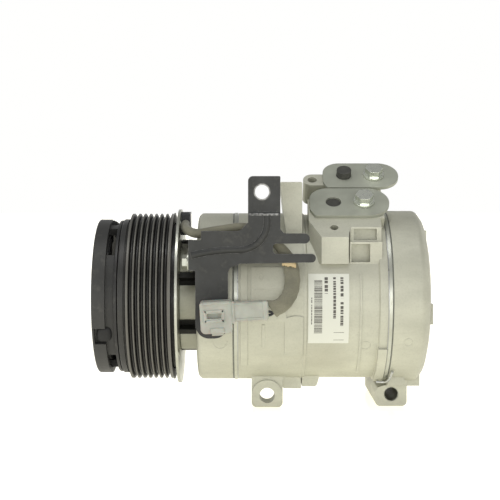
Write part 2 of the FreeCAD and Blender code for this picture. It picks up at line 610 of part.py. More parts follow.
def port_block_pieces():
    """The inclined blocks that carry the two ports, built on the port plane."""
    def slab(name, outline, depth, rounds=()):
        y, z = port_point("0", f"-({depth})")
        return prism(name, outline, depth, rounds=rounds, y=y, z=z, rotation=PORT_PLANE)

    lower = slab("lower_port_base", [("102.5", "19"), ("146.8", "19"), ("146.8", "46"), ("102.5", "46")],
                 "30",
                 rounds=[("102.5", "46", 6), ("146.8", "46", 4)])
    upper = slab("upper_port_base", [("112.5", "45"), ("146.8", "45"), ("146.8", "72.7"),
                                     ("112.5", "72.7")], "34",
                 rounds=[("112.5", "72.7", 9), ("146.8", "72.7", 9)])
    front = slab("port_front_facet", [("106.6", "0"), ("123.2", "0"), ("126.2", "24"), ("103.6", "24")],
                 "30")
    y, z = port_point("0", "0")
    above = prism("above_ports", [("90", "-30"), ("150", "-30"), ("150", "50"), ("90", "50")], "50",
                  y=y, z=z, rotation=PORT_PLANE)
    flank = prism("port_flank", [("106.6", "-50"), ("123.2", "-50"), ("123.2", "-20"), ("99.3", "-20"),
                                 ("99.3", "-37")], "40", z="24")
    skirt = cut("port_skirt", flank, [above])
    ear = port_cylinder("ear_round", "5.9", "103.2", "ear_s", "-16", "0")
    ear_web = slab("ear_web", [("103.2", "ear_s - 5.9"), ("118", "ear_s - 5.9"), ("118", "ear_s + 5.9"),
                               ("103.2", "ear_s + 5.9")], "16")
    ledge = cut("port_ledge", prism("port_ledge_block", [("124", "23"), ("144", "23"), ("144", "52"),
                                                         ("124", "52")],
                                    "16", y="-31.5", rotation=FACING_FRONT), [above])
    return [lower, upper, front, skirt, ear, ear_web, ledge]


def rear_cylinder_block():
    """Five bores, half of the swash chamber and the block of refrigerant ports."""
    shell = turned("rear_block_shell", [
        ("block_joint", "chamber_radius"), ("block_joint", "front_radius"),
        ("block_joint + 1.6", "front_radius"),
        ("block_joint + 2.4", "rear_block_radius"), ("141.5", "rear_block_radius"),
        ("142.5", "rear_radius - 0.8"),
        ("block_rear", "rear_radius - 0.8"), ("block_rear", "centre_hole"),
        ("cup_seat_rear", "centre_hole"), ("cup_seat_rear", "cup_bore"), ("chamber_rear", "cup_bore"),
        ("chamber_rear", "chamber_radius")])
    step = prism("rear_bottom_step", [
        ("block_joint + 0.6", "-57"), ("105.5", "-57"), ("107", "-52"), ("107", "-40"),
        ("block_joint + 0.6", "-40")], "34", rounds=[("105.5", "-57", 2)], y="17", rotation=FACING_FRONT)
    bolt_pad = sector("rear_bolt_pad", "rear_radius + 0.8", "rear_radius - 4", "141.8", "block_rear", -31,
                      42)
    rib = sector("rear_block_rib", "rear_block_radius + 0.6", "rear_block_radius - 2", "130", "131.2", 20,
                 80)
    body = fused("rear_block_body", [shell, step, bolt_pad, rib] + port_block_pieces())
    inside = bores("rear_bore", "chamber_rear - 1", "block_rear + 1")
    inside += bolt_holes("rear_block_bolt_hole", "bolt_radius + 0.3", "block_joint - 1", "block_rear + 1")
    inside += [rod("rear_chamber", "chamber_radius", "block_joint - 1", "chamber_rear"),
               rod("rear_centre_keep", "cup_bore", "chamber_rear - 1", "cup_seat_rear"),
               rod("rear_centre_pass", "centre_hole", "cup_seat_rear - 1.9", "block_rear + 1"),
               port_cylinder("port_bore_one", "port_hole", "port_one_x", "port_one_s", "-13", "1"),
               port_cylinder("port_bore_two", "port_hole", "port_two_x", "port_two_s", "-13", "1"),
               port_cylinder("cap_thread_one", "3.03", "bolt_one_x", "port_one_s", "-14", "1"),
               port_cylinder("cap_thread_two", "3.03", "bolt_two_x", "port_two_s", "-14", "1"),
               port_cylinder("facet_thread", "2.5", "114.8", "9.3", "-12", "1"),
               port_cylinder("ear_bore", "2.95", "103.2", "ear_s", "-17", "1")]
    set_back = prism("ledge_set_back", [("122.1", "-60"), ("150", "-60"), ("150", "-42.3"),
                                        ("124.9", "-42.3")], "20",
                     z="37.4")
    pockets = [box("upper_pocket", ("127", "141"), ("-60", "-38.5"), ("38.4", "45.2")),
               box("lower_pocket", ("125", "136.5"), ("-60", "-42"), ("25", "36"))]
    node(cut("rear_block_solid", body, inside + [set_back] + pockets), "rear_cylinder_block")


def rear_housing():
    """Domed end cover with its two chambers, the long lower lug and small casting pads."""
    shell = turned("rear_shell", [
        ("rear_housing_front", "41"), ("rear_housing_front", "rear_radius"), ("rear_edge", "rear_radius"),
        ("rear_slope", "50.5"), ("rear_end", "43.5"), ("rear_end", "0"), ("rear_end - 7", "0"),
        ("rear_end - 7", "28"), ("rear_housing_front", "28"), ("rear_housing_front", "32"),
        ("rear_end - 8", "32"), ("rear_end - 8", "38"), ("rear_end - 11", "41")],
        rounds=[("rear_edge", "rear_radius", 4), ("rear_slope", "50.5", 4), ("rear_end", "43.5", 2)])
    lug = prism("rear_lug", [
        ("rear_lug_x - 10.2", "-61"), ("rear_lug_x - 9", "-58"), ("rear_lug_x - 4", "-56.4"),
        ("rear_lug_x - 2.8", "-56.4"), ("rear_lug_x - 2.8", "-46"), ("rear_lug_x + 10", "-46"),
        ("rear_lug_x + 10", "lug_low"), ("rear_lug_x - 10.2", "lug_low")], "66",
        rounds=[("rear_lug_x - 10.2", "lug_low", 3), ("rear_lug_x + 10", "lug_low", 3),
                ("rear_lug_x - 10.2", "-61", 1.5), ("rear_lug_x - 9", "-58", 1.5)],
        y="50", rotation=FACING_FRONT)
    foot = box("rear_foot", ("rear_lug_x + 8", "172.3"), ("-14", "20"), ("-57.2", "-44"))
    nub = box("rear_nub", ("rear_lug_x - 3", "rear_lug_x + 7.5"), ("-24", "0"), ("-55", "-44"))
    side_pad = box("rear_side_pad", ("168", "176.2"), ("-43", "-30"), ("-14", "-1.5"))
    top_pad = box("rear_top_pad", ("168", "177"), ("-8", "8"), ("31.5", "43"))
    seat = cylinder("relief_seat", "relief_seat_radius", "13", "relief_x", "relief_seat_y - 13", "relief_z",
                    ALONG_Y)
    body = fused("rear_housing_body", [shell, lug, foot, nub, side_pad, top_pad, seat])
    holes = bolt_holes("rear_thread", "bolt_radius + 0.05", "rear_housing_front - 1", "rear_edge + 0.5")
    holes += [cylinder("rear_lug_bore", "rear_lug_hole", "68", "rear_lug_x", "-17", "lug_hole_z", ALONG_Y),
              cylinder("relief_thread", "5", "20", "relief_x", "relief_seat_y - 19.5", "relief_z", ALONG_Y)]
    node(cut("rear_housing_solid", body, holes), "rear_housing")


def through_bolts():
    """Five socket-head bolts that clamp the whole casing together."""
    bolts = []
    for i, angle in enumerate(bore_angles(BORE_STEP / 2)):
        spot = polar(angle, "bolt_circle")
        solid = fused(f"through_bolt_solid_{i}", [
            rod(f"through_shank_{i}", "bolt_radius", "housing_front + 5", "rear_edge - 1", *spot),
            rod(f"through_head_{i}", "5", "housing_front + 0.8", "housing_front + 5.8", *spot)])
        socket = hexagon(f"through_socket_{i}", "5", "3", "housing_front + 0.7", *spot, ALONG_X)
        bolts.append(cut(f"through_bolt_{i}", solid, [socket]))
    node(grouped("through_bolt_set", bolts), "through_bolts")


def type_label():
    """Paper label on the connector side of the rear block."""
    node(sector("label_solid", "rear_block_radius + 0.35", "rear_block_radius + 0.05", "98.4", "123.4",
                19.7, 47.6),
         "label")


# ---------------------------------------------------------------- drive

def drive_shaft():
    shaft = turned("drive_shaft_solid", [
        ("boss_front + 0.5", "3.05"), ("boss_front + 0.5", "spline_radius"),
        ("boss_rear + 0.6", "spline_radius"),
        ("boss_rear + 0.6", "seal_land"), ("34", "seal_land"), ("34", "shaft_radius"),
        ("block_rear - 0.8", "shaft_radius"), ("block_rear - 0.8", "0"), ("boss_front + 15", "0"),
        ("boss_front + 15", "3.05")])
    node(shaft, "drive_shaft")
    seal = turned("shaft_seal_solid", [
        ("21.05", "seal_land + 0.6"), ("21.05", "seal_bore - 0.02"), ("30", "seal_bore - 0.02"),
        ("30", "seal_land + 0.03"), ("28.5", "seal_land + 0.03"), ("27", "seal_land + 1.6"),
        ("24", "seal_land + 1.6"), ("23", "seal_land + 0.03"), ("22.4", "seal_land + 0.03")])
    node(seal, "shaft_seal")


def swash_plate():
    """A flat disc set at the swash angle on a hub that is pressed on the shaft."""
    tilt = value("swash_tilt")
    across = Rotation(Vector(0, 0, 1), tilt) * ALONG_X
    lean = "swash_tilt * 1 deg"
    disc = cylinder("swash_disc", "swash_radius", "2 * swash_half",
                    f"swash_centre - swash_half * cos({lean})",
                    f"-swash_half * sin({lean})", "0", across)
    boss = rod("swash_hub", "swash_boss", "swash_centre - swash_boss_half", "swash_centre + swash_boss_half")
    hole = rod("swash_bore", "shaft_radius + 0.01", "swash_centre - 30", "swash_centre + 30")
    node(cut("swash_plate_solid", fused("swash_body", [disc, boss]), [hole]), "swash_plate")


def shaft_bearings():
    """Drawn-cup needle bearings in the blocks and thrust bearings beside the swash plate."""
    cups, rollers = [], []
    for side, start, end in (("front", "cup_seat_front + 0.1", "cup_seat_front + 16.1"),
                             ("rear", "cup_seat_rear - 16.2", "cup_seat_rear - 0.2")):
        cups.append(turned(f"{side}_needle_cup", [
            (start, "9.4"), (start, "cup_bore - 0.02"), (end, "cup_bore - 0.02"), (end, "9.4"),
            (f"{end} - 1", "9.4"), (f"{end} - 1", "12"), (f"{start} + 1", "12"), (f"{start} + 1", "9.4")]))
        for k in range(NEEDLES):
            rollers.append(rod(f"{side}_needle_{k}", "needle_radius", f"{start} + 1.5", f"{end} - 1.5",
                               *polar(k * 360.0 / NEEDLES, "needle_circle")))
    node(grouped("needle_cup_set", cups), "radial_bearing_cups")
    node(grouped("needle_set", rollers), "needle_rollers")
    node(grouped("thrust_race_set", [
        tube("front_race", "17.2", "9.8", "chamber_front", "chamber_front + 1"),
        tube("rear_race", "17.2", "9.8", "chamber_rear - 1", "chamber_rear")]), "thrust_races")
    rows = []
    for side, station in (("front", "chamber_front + 2.1"), ("rear", "chamber_rear - 2.1")):
        pockets = []
        for k in range(THRUST_ROLLERS):
            angle = k * 360.0 / THRUST_ROLLERS
            lie = Rotation(Vector(1, 0, 0), angle) * ALONG_Y
            rows.append(cylinder(f"{side}_thrust_roller_{k}", "1.02", "4.6", station, *polar(angle, "11.2"),
                                 lie))
            pockets.append(cylinder(f"{side}_thrust_pocket_{k}", "1.06", "4.8", station,
                                    *polar(angle, "11.1"), lie))
        cage = tube(f"{side}_thrust_cage_ring", "16.8", "10.2", f"{station} - 0.4", f"{station} + 0.4")
        rows.append(cut(f"{side}_thrust_cage", cage, pockets))
    node(grouped("thrust_roller_set", rows), "thrust_rollers")


def ball_centre(angle):
    """Where a piston's shoes sit on the tilted plate when the shaft is at rest."""
    lean = "swash_tilt * 1 deg"
    reach = f"(2 * bore_circle / (1 + cos({lean})))"
    return (f"swash_centre - {reach} * cos({angle} deg) * sin({lean})",
            f"{reach} * cos({angle} deg) * cos({lean})", f"{reach} * sin({angle} deg)")


def shoe(name, centre, side):
    """The part of a ball that lies beyond one face of the swash plate; side is -1 at the front."""
    tilt = value("swash_tilt")
    whole = ball(name + "_ball", "shoe_radius", *centre)
    across = Rotation(Vector(0, 0, 1), tilt) * ALONG_X
    lean = "swash_tilt * 1 deg"
    reach = "(swash_half + shoe_gap)" if side > 0 else "(-swash_half - shoe_gap - 10)"
    x, y, z = centre
    keep = cylinder(name + "_side", "shoe_rim", "10", f"{x} + {reach} * cos({lean})",
                    f"{y} + {reach} * sin({lean})",
                    z, across)
    return common(name, whole, keep)


def piston(name, angle, centre):
    """Double-headed piston whose bridge passes outside the rim of the swash plate."""
    x, y, z = centre
    turn = Rotation(Vector(1, 0, 0), angle)

    def bar(part, radius, start, end):
        return rod(f"{name}_{part}", radius, f"{x} + ({start})", f"{x} + ({end})", y, z)

    heads = [bar("front_head", "piston_radius", "-piston_half", "-piston_slot"),
             bar("rear_head", "piston_radius", "piston_slot", "piston_half"),
             bar("front_boss", "pocket_boss", "-piston_slot", "-pocket_face"),
             bar("rear_boss", "pocket_boss", "pocket_face", "piston_slot")]
    slab = box(f"{name}_bridge_slab", ("0", "2 * piston_slot"), ("0", "piston_radius"), ("0", "40"))
    place(slab, f"{x} - piston_slot", f"{y} + bridge_offset * cos({angle} deg) + 20 * sin({angle} deg)",
          f"{z} + bridge_offset * sin({angle} deg) - 20 * cos({angle} deg)", turn)
    bridge = common(f"{name}_bridge", bar("bridge_round", "piston_radius", "-piston_slot", "piston_slot"),
                    slab)
    body = fused(f"{name}_body", heads + [bridge])
    return cut(f"{name}_solid", body, [ball(f"{name}_pocket", "shoe_radius + pocket_gap", x, y, z)])


def reciprocating_parts():
    front_shoes = []
    for number, angle in enumerate(bore_angles(), start=1):
        centre = ball_centre(angle)
        front_shoes.append(shoe(f"front_shoe_{number}", centre, -1))
        node(shoe(f"rear_shoe_solid_{number}", centre, 1), f"rear_shoe_{number}")
        node(piston(f"piston_part_{number}", angle, centre), f"piston_{number}")
    node(grouped("front_shoe_set", front_shoes), "front_shoes")


# ---------------------------------------------------------------- ports and relief valve

def cap_plate(name, outline, rounds, port, bolt):
    y, z = port_point("0", "0")
    holes = [port + ("port_hole + 0.1",), bolt + ("3.2",)]
    return prism(name, outline, "cap_thickness", circles=holes, rounds=rounds, y=y, z=z, rotation=PORT_PLANE)


def port_caps():
    """Shipping plates bolted over the ports, with a rubber plug in each port."""
    lower = cap_plate("front_cap_solid",
                      [("103.6", "18.7"), ("150.7", "18.7"), ("150.7", "46.8"), ("100.3", "46.8"),
                       ("100.3", "25")],
                      [("150.7", "46.8", 14), ("150.7", "18.7", 14), ("100.3", "46.8", 12),
                       ("100.3", "25", 3),
                       ("103.6", "18.7", 2)],
                      ("port_one_x", "port_one_s"), ("bolt_one_x", "port_one_s"))
    node(lower, "front_cap_plate")
    upper = cap_plate("rear_cap_solid",
                      [("112.2", "48"), ("159.1", "48"), ("159.1", "74.1"), ("110.1", "74.1"),
                       ("110.1", "53.7")],
                      [("159.1", "74.1", 12.8), ("159.1", "48", 12.8), ("110.1", "74.1", 11),
                       ("112.2", "48", 1.5)],
                      ("port_two_x", "port_two_s"), ("bolt_two_x", "port_two_s"))
    node(upper, "rear_cap_plate")
    bolts = []
    for side, x, along in (("one", "bolt_one_x", "port_one_s"), ("two", "bolt_two_x", "port_two_s")):
        y, z = port_point(along, "cap_thickness + 1.3")
        bolts.append(fused(f"cap_bolt_{side}", [
            port_cylinder(f"cap_shank_{side}", "3", x, along, "-11", "cap_thickness + 0.5"),
            port_cylinder(f"cap_flange_{side}", "6.6", x, along, "cap_thickness", "cap_thickness + 1.4"),
            hexagon(f"cap_hex_{side}", "10", "4.6", x, y, z, PORT_PLANE)]))
    node(grouped("cap_bolt_set", bolts), "cap_bolts")
    node(grouped("port_plug_set", [
        port_cylinder("plug_one", "port_hole - 0.1", "port_one_x", "port_one_s", "-8", "0.8"),
        port_cylinder("plug_two", "port_hole - 0.1", "port_two_x", "port_two_s", "-8", "6.2")]),
        "port_plugs")


RELIEF_TURN = Rotation(Vector(0, 0, 1), 90)
SPRING_TURNS = 5


def relief_valve():
    """Spring-loaded pressure relief valve on the far side of the rear housing."""
    def seated(piece):
        return place(piece, "relief_x", "relief_seat_y", "relief_z", RELIEF_TURN)

    shell = turned("relief_shell", [
        ("-8", "1.6"), ("-8", "4.95"), ("0", "4.95"), ("0", "6.5"), ("11", "6.5"),
        ("11", "2.2"), ("9.5", "2.2"), ("9.5", "4.2"), ("-5", "4.2"), ("-5", "1.6")])
    flats = fused("relief_flats", [hexagon("relief_hex", "12", "12", rotation=ALONG_X),
                                   rod("relief_round", "9", "-9", "1.8")])
    node(seated(common("relief_body", shell, flats)), "relief_valve_body")
    node(seated(turned("relief_poppet", [("-4.95", "0"), ("-4.95", "3.9"), ("-2.6", "3.9"), ("-2.6", "1.4"),
                                         ("2.5", "1.4"), ("2.5", "0")])), "relief_valve_poppet")
    path = doc.addObject("Part::Helix", "spring_path")
    path.Pitch = 2.2
    path.Height = 2.2 * SPRING_TURNS
    path.Radius = 3.0
    wire = doc.addObject("Part::Circle", "spring_wire")
    wire.Radius = 0.4
    wire.Placement = Placement(Vector(3.0, 0, 0), FACING_FRONT)
    sweep = doc.addObject("Part::Sweep", "relief_spring")
    sweep.Sections = [wire]
    sweep.Spine = (path, ["Edge1"])
    sweep.Solid = True
    sweep.Frenet = True
    place(sweep, "relief_x", "relief_seat_y - 2.15", "relief_z", ALONG_Y)
    node(sweep, "relief_valve_spring")


# ---------------------------------------------------------------- harness bracket and lead

BEAD_ROUTE = [(27.0, -56.0, 29.4), (42.0, -56.0, 33.0), (73.2, -56.0, 33.0), (73.2, -56.0, 54.4)]
BEAD_RADIUS = 2.3


def bent_path(points, share=0.45):
    """Straight runs joined by tangent arcs as large as their runs allow."""
    corners = [Vector(*point) for point in points]
    edges, start = [], corners[0]
    for before, corner, after in zip(corners, corners[1:], corners[2:]):
        inward = (before - corner).normalize()
        outward = (after - corner).normalize()
        trim = share * min((before - corner).Length, (after - corner).Length)
        half = (math.pi - inward.getAngle(outward)) / 2
        radius = trim / math.tan(half)
        middle = corner + (inward + outward).normalize() * (radius / math.cos(half) - radius)
        first, last = corner + inward * trim, corner + outward * trim
        edges.append(Part.LineSegment(start, first).toShape())
        edges.append(Part.Arc(first, middle, last).toShape())
        start = last
    edges.append(Part.LineSegment(start, corners[-1]).toShape())
    return Part.Wire(edges)


def swept_bar(name, points, radius, share=0.45):
    """A round bar along a bent path."""
    start = Vector(*points[0])
    ring = Part.Wire([Part.Circle(start, Vector(*points[1]) - start, radius).toShape()])
    bar = doc.addObject("Part::Feature", name)
    bar.Shape = bent_path(points, share).makePipeShell([ring], True, False)
    return bar


def harness_bracket():
    """Stamped bracket: flat plate, set-back tab, two fingers, front flange and a stiffening bead."""
    plate = prism("bracket_plate", [
        ("25.4", "20.2"), ("25.4", "38.8"), ("33.2", "38.8"), ("33.2", "44.4"), ("56.5", "44.4"),
        ("61.6", "49.5"),
        ("61.6", "54.2"), ("81.2", "54.2"), ("81.2", "45.5"), ("83.5", "42.9"), ("99", "42.9"),
        ("99", "36.8"),
        ("76.7", "36.8"), ("76.7", "30.5"), ("102.7", "30.5"), ("102.7", "25.4"), ("57", "24.6"),
        ("49.5", "22"), ("49.5", "-21"), ("29.6", "-21"), ("29.6", "20.2")], "sheet_thickness",
        circles=[("plate_bolt_x", "plate_bolt_z", "3.3")],
        rounds=[("99", "42.9", 3), ("99", "36.8", 3), ("102.7", "30.5", 2.5), ("102.7", "25.4", 2.4),
                ("76.7", "36.8", 2), ("76.7", "30.5", 2), ("49.5", "-21", 8.5), ("29.6", "-21", 8.5),
                ("56.5", "44.4", 4), ("83.5", "42.9", 2.5), ("49.5", "22", 5)],
        y="bracket_face + sheet_thickness", rotation=FACING_FRONT)
    bend = prism("bracket_bend", [
        ("bracket_face", "53"), ("bracket_face", "54.2"), ("bracket_face + tab_set_back", "56.2"),
        ("bracket_face + tab_set_back", "58"), ("bracket_face + tab_set_back + sheet_thickness", "58"),
        ("bracket_face + tab_set_back + sheet_thickness", "55.4"),
        ("bracket_face + sheet_thickness", "53.4"),
        ("bracket_face + sheet_thickness", "53")], "19.6", x="61.6", rotation=ACROSS_X)
    tab = prism("bracket_tab", [("61.6", "57"), ("81.2", "57"), ("81.2", "77.6"), ("61.6", "77.6")],
                "sheet_thickness", circles=[("70.1", "68", "4.3")],
                rounds=[("61.6", "77.6", 3), ("81.2", "77.6", 0.8)],
                y="bracket_face + tab_set_back + sheet_thickness", rotation=FACING_FRONT)
    flange = prism("bracket_flange", [("bracket_face", "20.2"), ("-37", "20.2"), ("-37", "31"),
                                      ("-46", "38.8"), ("bracket_face", "38.8")], "sheet_thickness",
                   circles=[("flange_bolt_y", "flange_bolt_z", "3.3")],
                   rounds=[("-37", "20.2", 3), ("-37", "31", 3)],
                   x="25.4", rotation=ACROSS_X)
    foot = rod("bracket_spacer_round", "6", "27.4", "housing_front", "flange_bolt_y", "flange_bolt_z")
    foot_hole = rod("bracket_spacer_hole", "3.3", "25", "housing_front + 1", "flange_bolt_y",
                    "flange_bolt_z")
    bead = swept_bar("bracket_bead", BEAD_ROUTE, BEAD_RADIUS, 0.776)
    body = fused("bracket_body", [fused("bracket_sheet", [plate, bend, tab, flange, foot]), bead])
    node(cut("harness_bracket_solid", body, [foot_hole]), "harness_bracket")
    bolts = [fused("bracket_bolt_one", [
        rod("bracket_shank_one", "2.5", "24.5", "37", "flange_bolt_y", "flange_bolt_z"),
        rod("bracket_head_one_flange", "6", "24.1", "25.4", "flange_bolt_y", "flange_bolt_z"),
        hexagon("bracket_head_one", "8", "3.2", "21", "flange_bolt_y", "flange_bolt_z", ALONG_X)]),
        fused("bracket_bolt_two", [
            cylinder("bracket_shank_two", "2.5", "8", "plate_bolt_x", "-57.5", "plate_bolt_z", ALONG_Y),
            cylinder("bracket_head_two_flange", "6", "1.2", "plate_bolt_x", "-58.2", "plate_bolt_z",
                     ALONG_Y),
            hexagon("bracket_head_two", "8", "2.6", "plate_bolt_x", "-60.6", "plate_bolt_z", ALONG_Y)])]
    node(grouped("bracket_bolt_set", bolts), "bracket_bolts")


def connector():
    """Coil lead connector: keyed head with a latch window, narrower body behind it."""
    def shell(name, outline, depth, back, rounds=()):
        return prism(name, outline, depth, rounds=rounds, x="connector_x", y=back, z="connector_z",
                     rotation=CONNECTOR_TILT * FACING_FRONT)

    head = shell("connector_head", [("0", "-18.9"), ("18.8", "-18.9"), ("18.8", "0"), ("0", "0")], "13",
                 "-62",
                 rounds=[("0", "-18.9", 3), ("18.8", "-18.9", 1.5), ("0", "0", 1.5), ("18.8", "0", 1.5)])
    barrel = shell("connector_barrel", [("18", "-12.6"), ("40.6", "-12.2"), ("40.6", "-1.6"),
                                        ("18", "-1.2")],
                   "11", "-63", rounds=[("40.6", "-12.2", 1), ("40.6", "-1.6", 1)])
    latch = shell("connector_latch", [("6.4", "-20.5"), ("13.4", "-20.5"), ("13.4", "-18"), ("6.4", "-18")],
                  "7", "-65")
    clip = shell("connector_clip", [("14.6", "-17"), ("17.6", "-17"), ("17.6", "-2"), ("14.6", "-2")],
                 "5.2", "-57.1")
    window = shell("connector_window", [("4.2", "-10"), ("12.4", "-10"), ("12.4", "-7"), ("4.2", "-7")],
                   "4", "-72.5")
    socket = shell("connector_socket", [("-1", "-16"), ("10", "-16"), ("10", "-3.5"), ("-1", "-3.5")],
                   "6.5", "-65.7")
    node(cut("connector_solid", fused("connector_body", [head, barrel, latch, clip]), [window, socket]),
         "connector")


LEAD_ROUTE = [(73.9, -68.5, -1.75), (80.3, -68.3, -1.4), (86.5, -64.5, 5.5), (88.8, -58.3, 12.8),
              (87.8, -51.0, 25.2),
              (80.0, -49.6, 36.0), (70.0, -48.2, 43.0), (59.0, -47.0, 46.8), (48.0, -46.5, 45.2),
              (38.0, -45.2, 43.6), (29.6, -42.5, 41.8), (22.4, -31.0, 44.5), (21.3, -17.0, 47.0),
              (21.3, -9.05, 47.0)]
LEAD_RADIUS = 3.0


def lead_sleeve():
    """Sleeved coil lead, held at the connector and at the coil's lead block."""
    node(swept_bar("lead_sleeve_solid", LEAD_ROUTE, LEAD_RADIUS), "lead_sleeve")


# ---------------------------------------------------------------- build, check, export

def build():
    clutch_hub()
    hub_cup()
    armature()
    hub_fasteners()
    pulley()
    pulley_bearing()
    coil()
    front_housing()
    valve_stacks()
    front_cylinder_block()
    rear_cylinder_block()
    rear_housing()
    through_bolts()
    type_label()
    drive_shaft()
    swash_plate()
    shaft_bearings()
    reciprocating_parts()
    port_caps()
    relief_valve()
    harness_bracket()
    connector()
    lead_sleeve()


def check():
    failed = [item.Name for item in doc.Objects if {"Invalid", "Error"} & set(item.State)]
    failed += [piece.Label for piece in nodes
               if piece.Shape.isNull() or not piece.Shape.isValid() or not piece.Shape.Solids]
    if failed:
        raise RuntimeError("failed objects: " + ", ".join(failed))


def export():
    os.makedirs("parts", exist_ok=True)
    for piece in nodes:
        piece.Shape.exportStep(f"parts/{piece.Label}.step")
    print(f"{len(nodes)} sub-parts written")


build()
doc.recompute()
check()
export()
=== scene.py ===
"""Studio scene of the compressor: finish materials, soft and printed details, camera and light.

Everything is in metres in the frame of the CAD model: the origin is on the shaft axis at the
middle of the belt track, +X runs towards the rear housing and +Z is up.
"""
import json
import math
import random

import bmesh
import bpy
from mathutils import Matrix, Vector


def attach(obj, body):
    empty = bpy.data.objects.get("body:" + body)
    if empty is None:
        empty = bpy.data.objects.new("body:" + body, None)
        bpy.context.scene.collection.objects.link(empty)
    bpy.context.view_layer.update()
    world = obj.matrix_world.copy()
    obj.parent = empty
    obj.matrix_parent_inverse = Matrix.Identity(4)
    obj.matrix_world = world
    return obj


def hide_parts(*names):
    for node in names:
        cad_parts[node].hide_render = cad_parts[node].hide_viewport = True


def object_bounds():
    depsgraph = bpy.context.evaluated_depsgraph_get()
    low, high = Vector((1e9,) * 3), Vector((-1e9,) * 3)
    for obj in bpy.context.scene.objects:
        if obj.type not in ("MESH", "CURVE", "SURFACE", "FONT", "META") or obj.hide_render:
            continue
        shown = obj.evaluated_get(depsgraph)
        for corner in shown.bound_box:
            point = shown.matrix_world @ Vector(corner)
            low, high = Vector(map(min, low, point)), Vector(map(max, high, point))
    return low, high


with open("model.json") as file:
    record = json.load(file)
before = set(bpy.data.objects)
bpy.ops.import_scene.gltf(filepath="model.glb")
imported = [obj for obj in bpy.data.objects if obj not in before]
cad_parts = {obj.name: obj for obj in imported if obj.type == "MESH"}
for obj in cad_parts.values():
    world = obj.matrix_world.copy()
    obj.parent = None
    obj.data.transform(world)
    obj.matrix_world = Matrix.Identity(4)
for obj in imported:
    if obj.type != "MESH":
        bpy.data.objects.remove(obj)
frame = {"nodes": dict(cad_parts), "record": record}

CAD_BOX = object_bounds()
NODES = frame["nodes"]
MOUNTS = {mount["name"]: Vector(mount["pos_m"]) for mount in frame["record"]["mounts"]}
MM = 0.001


# ---------------------------------------------------------------- shader helpers

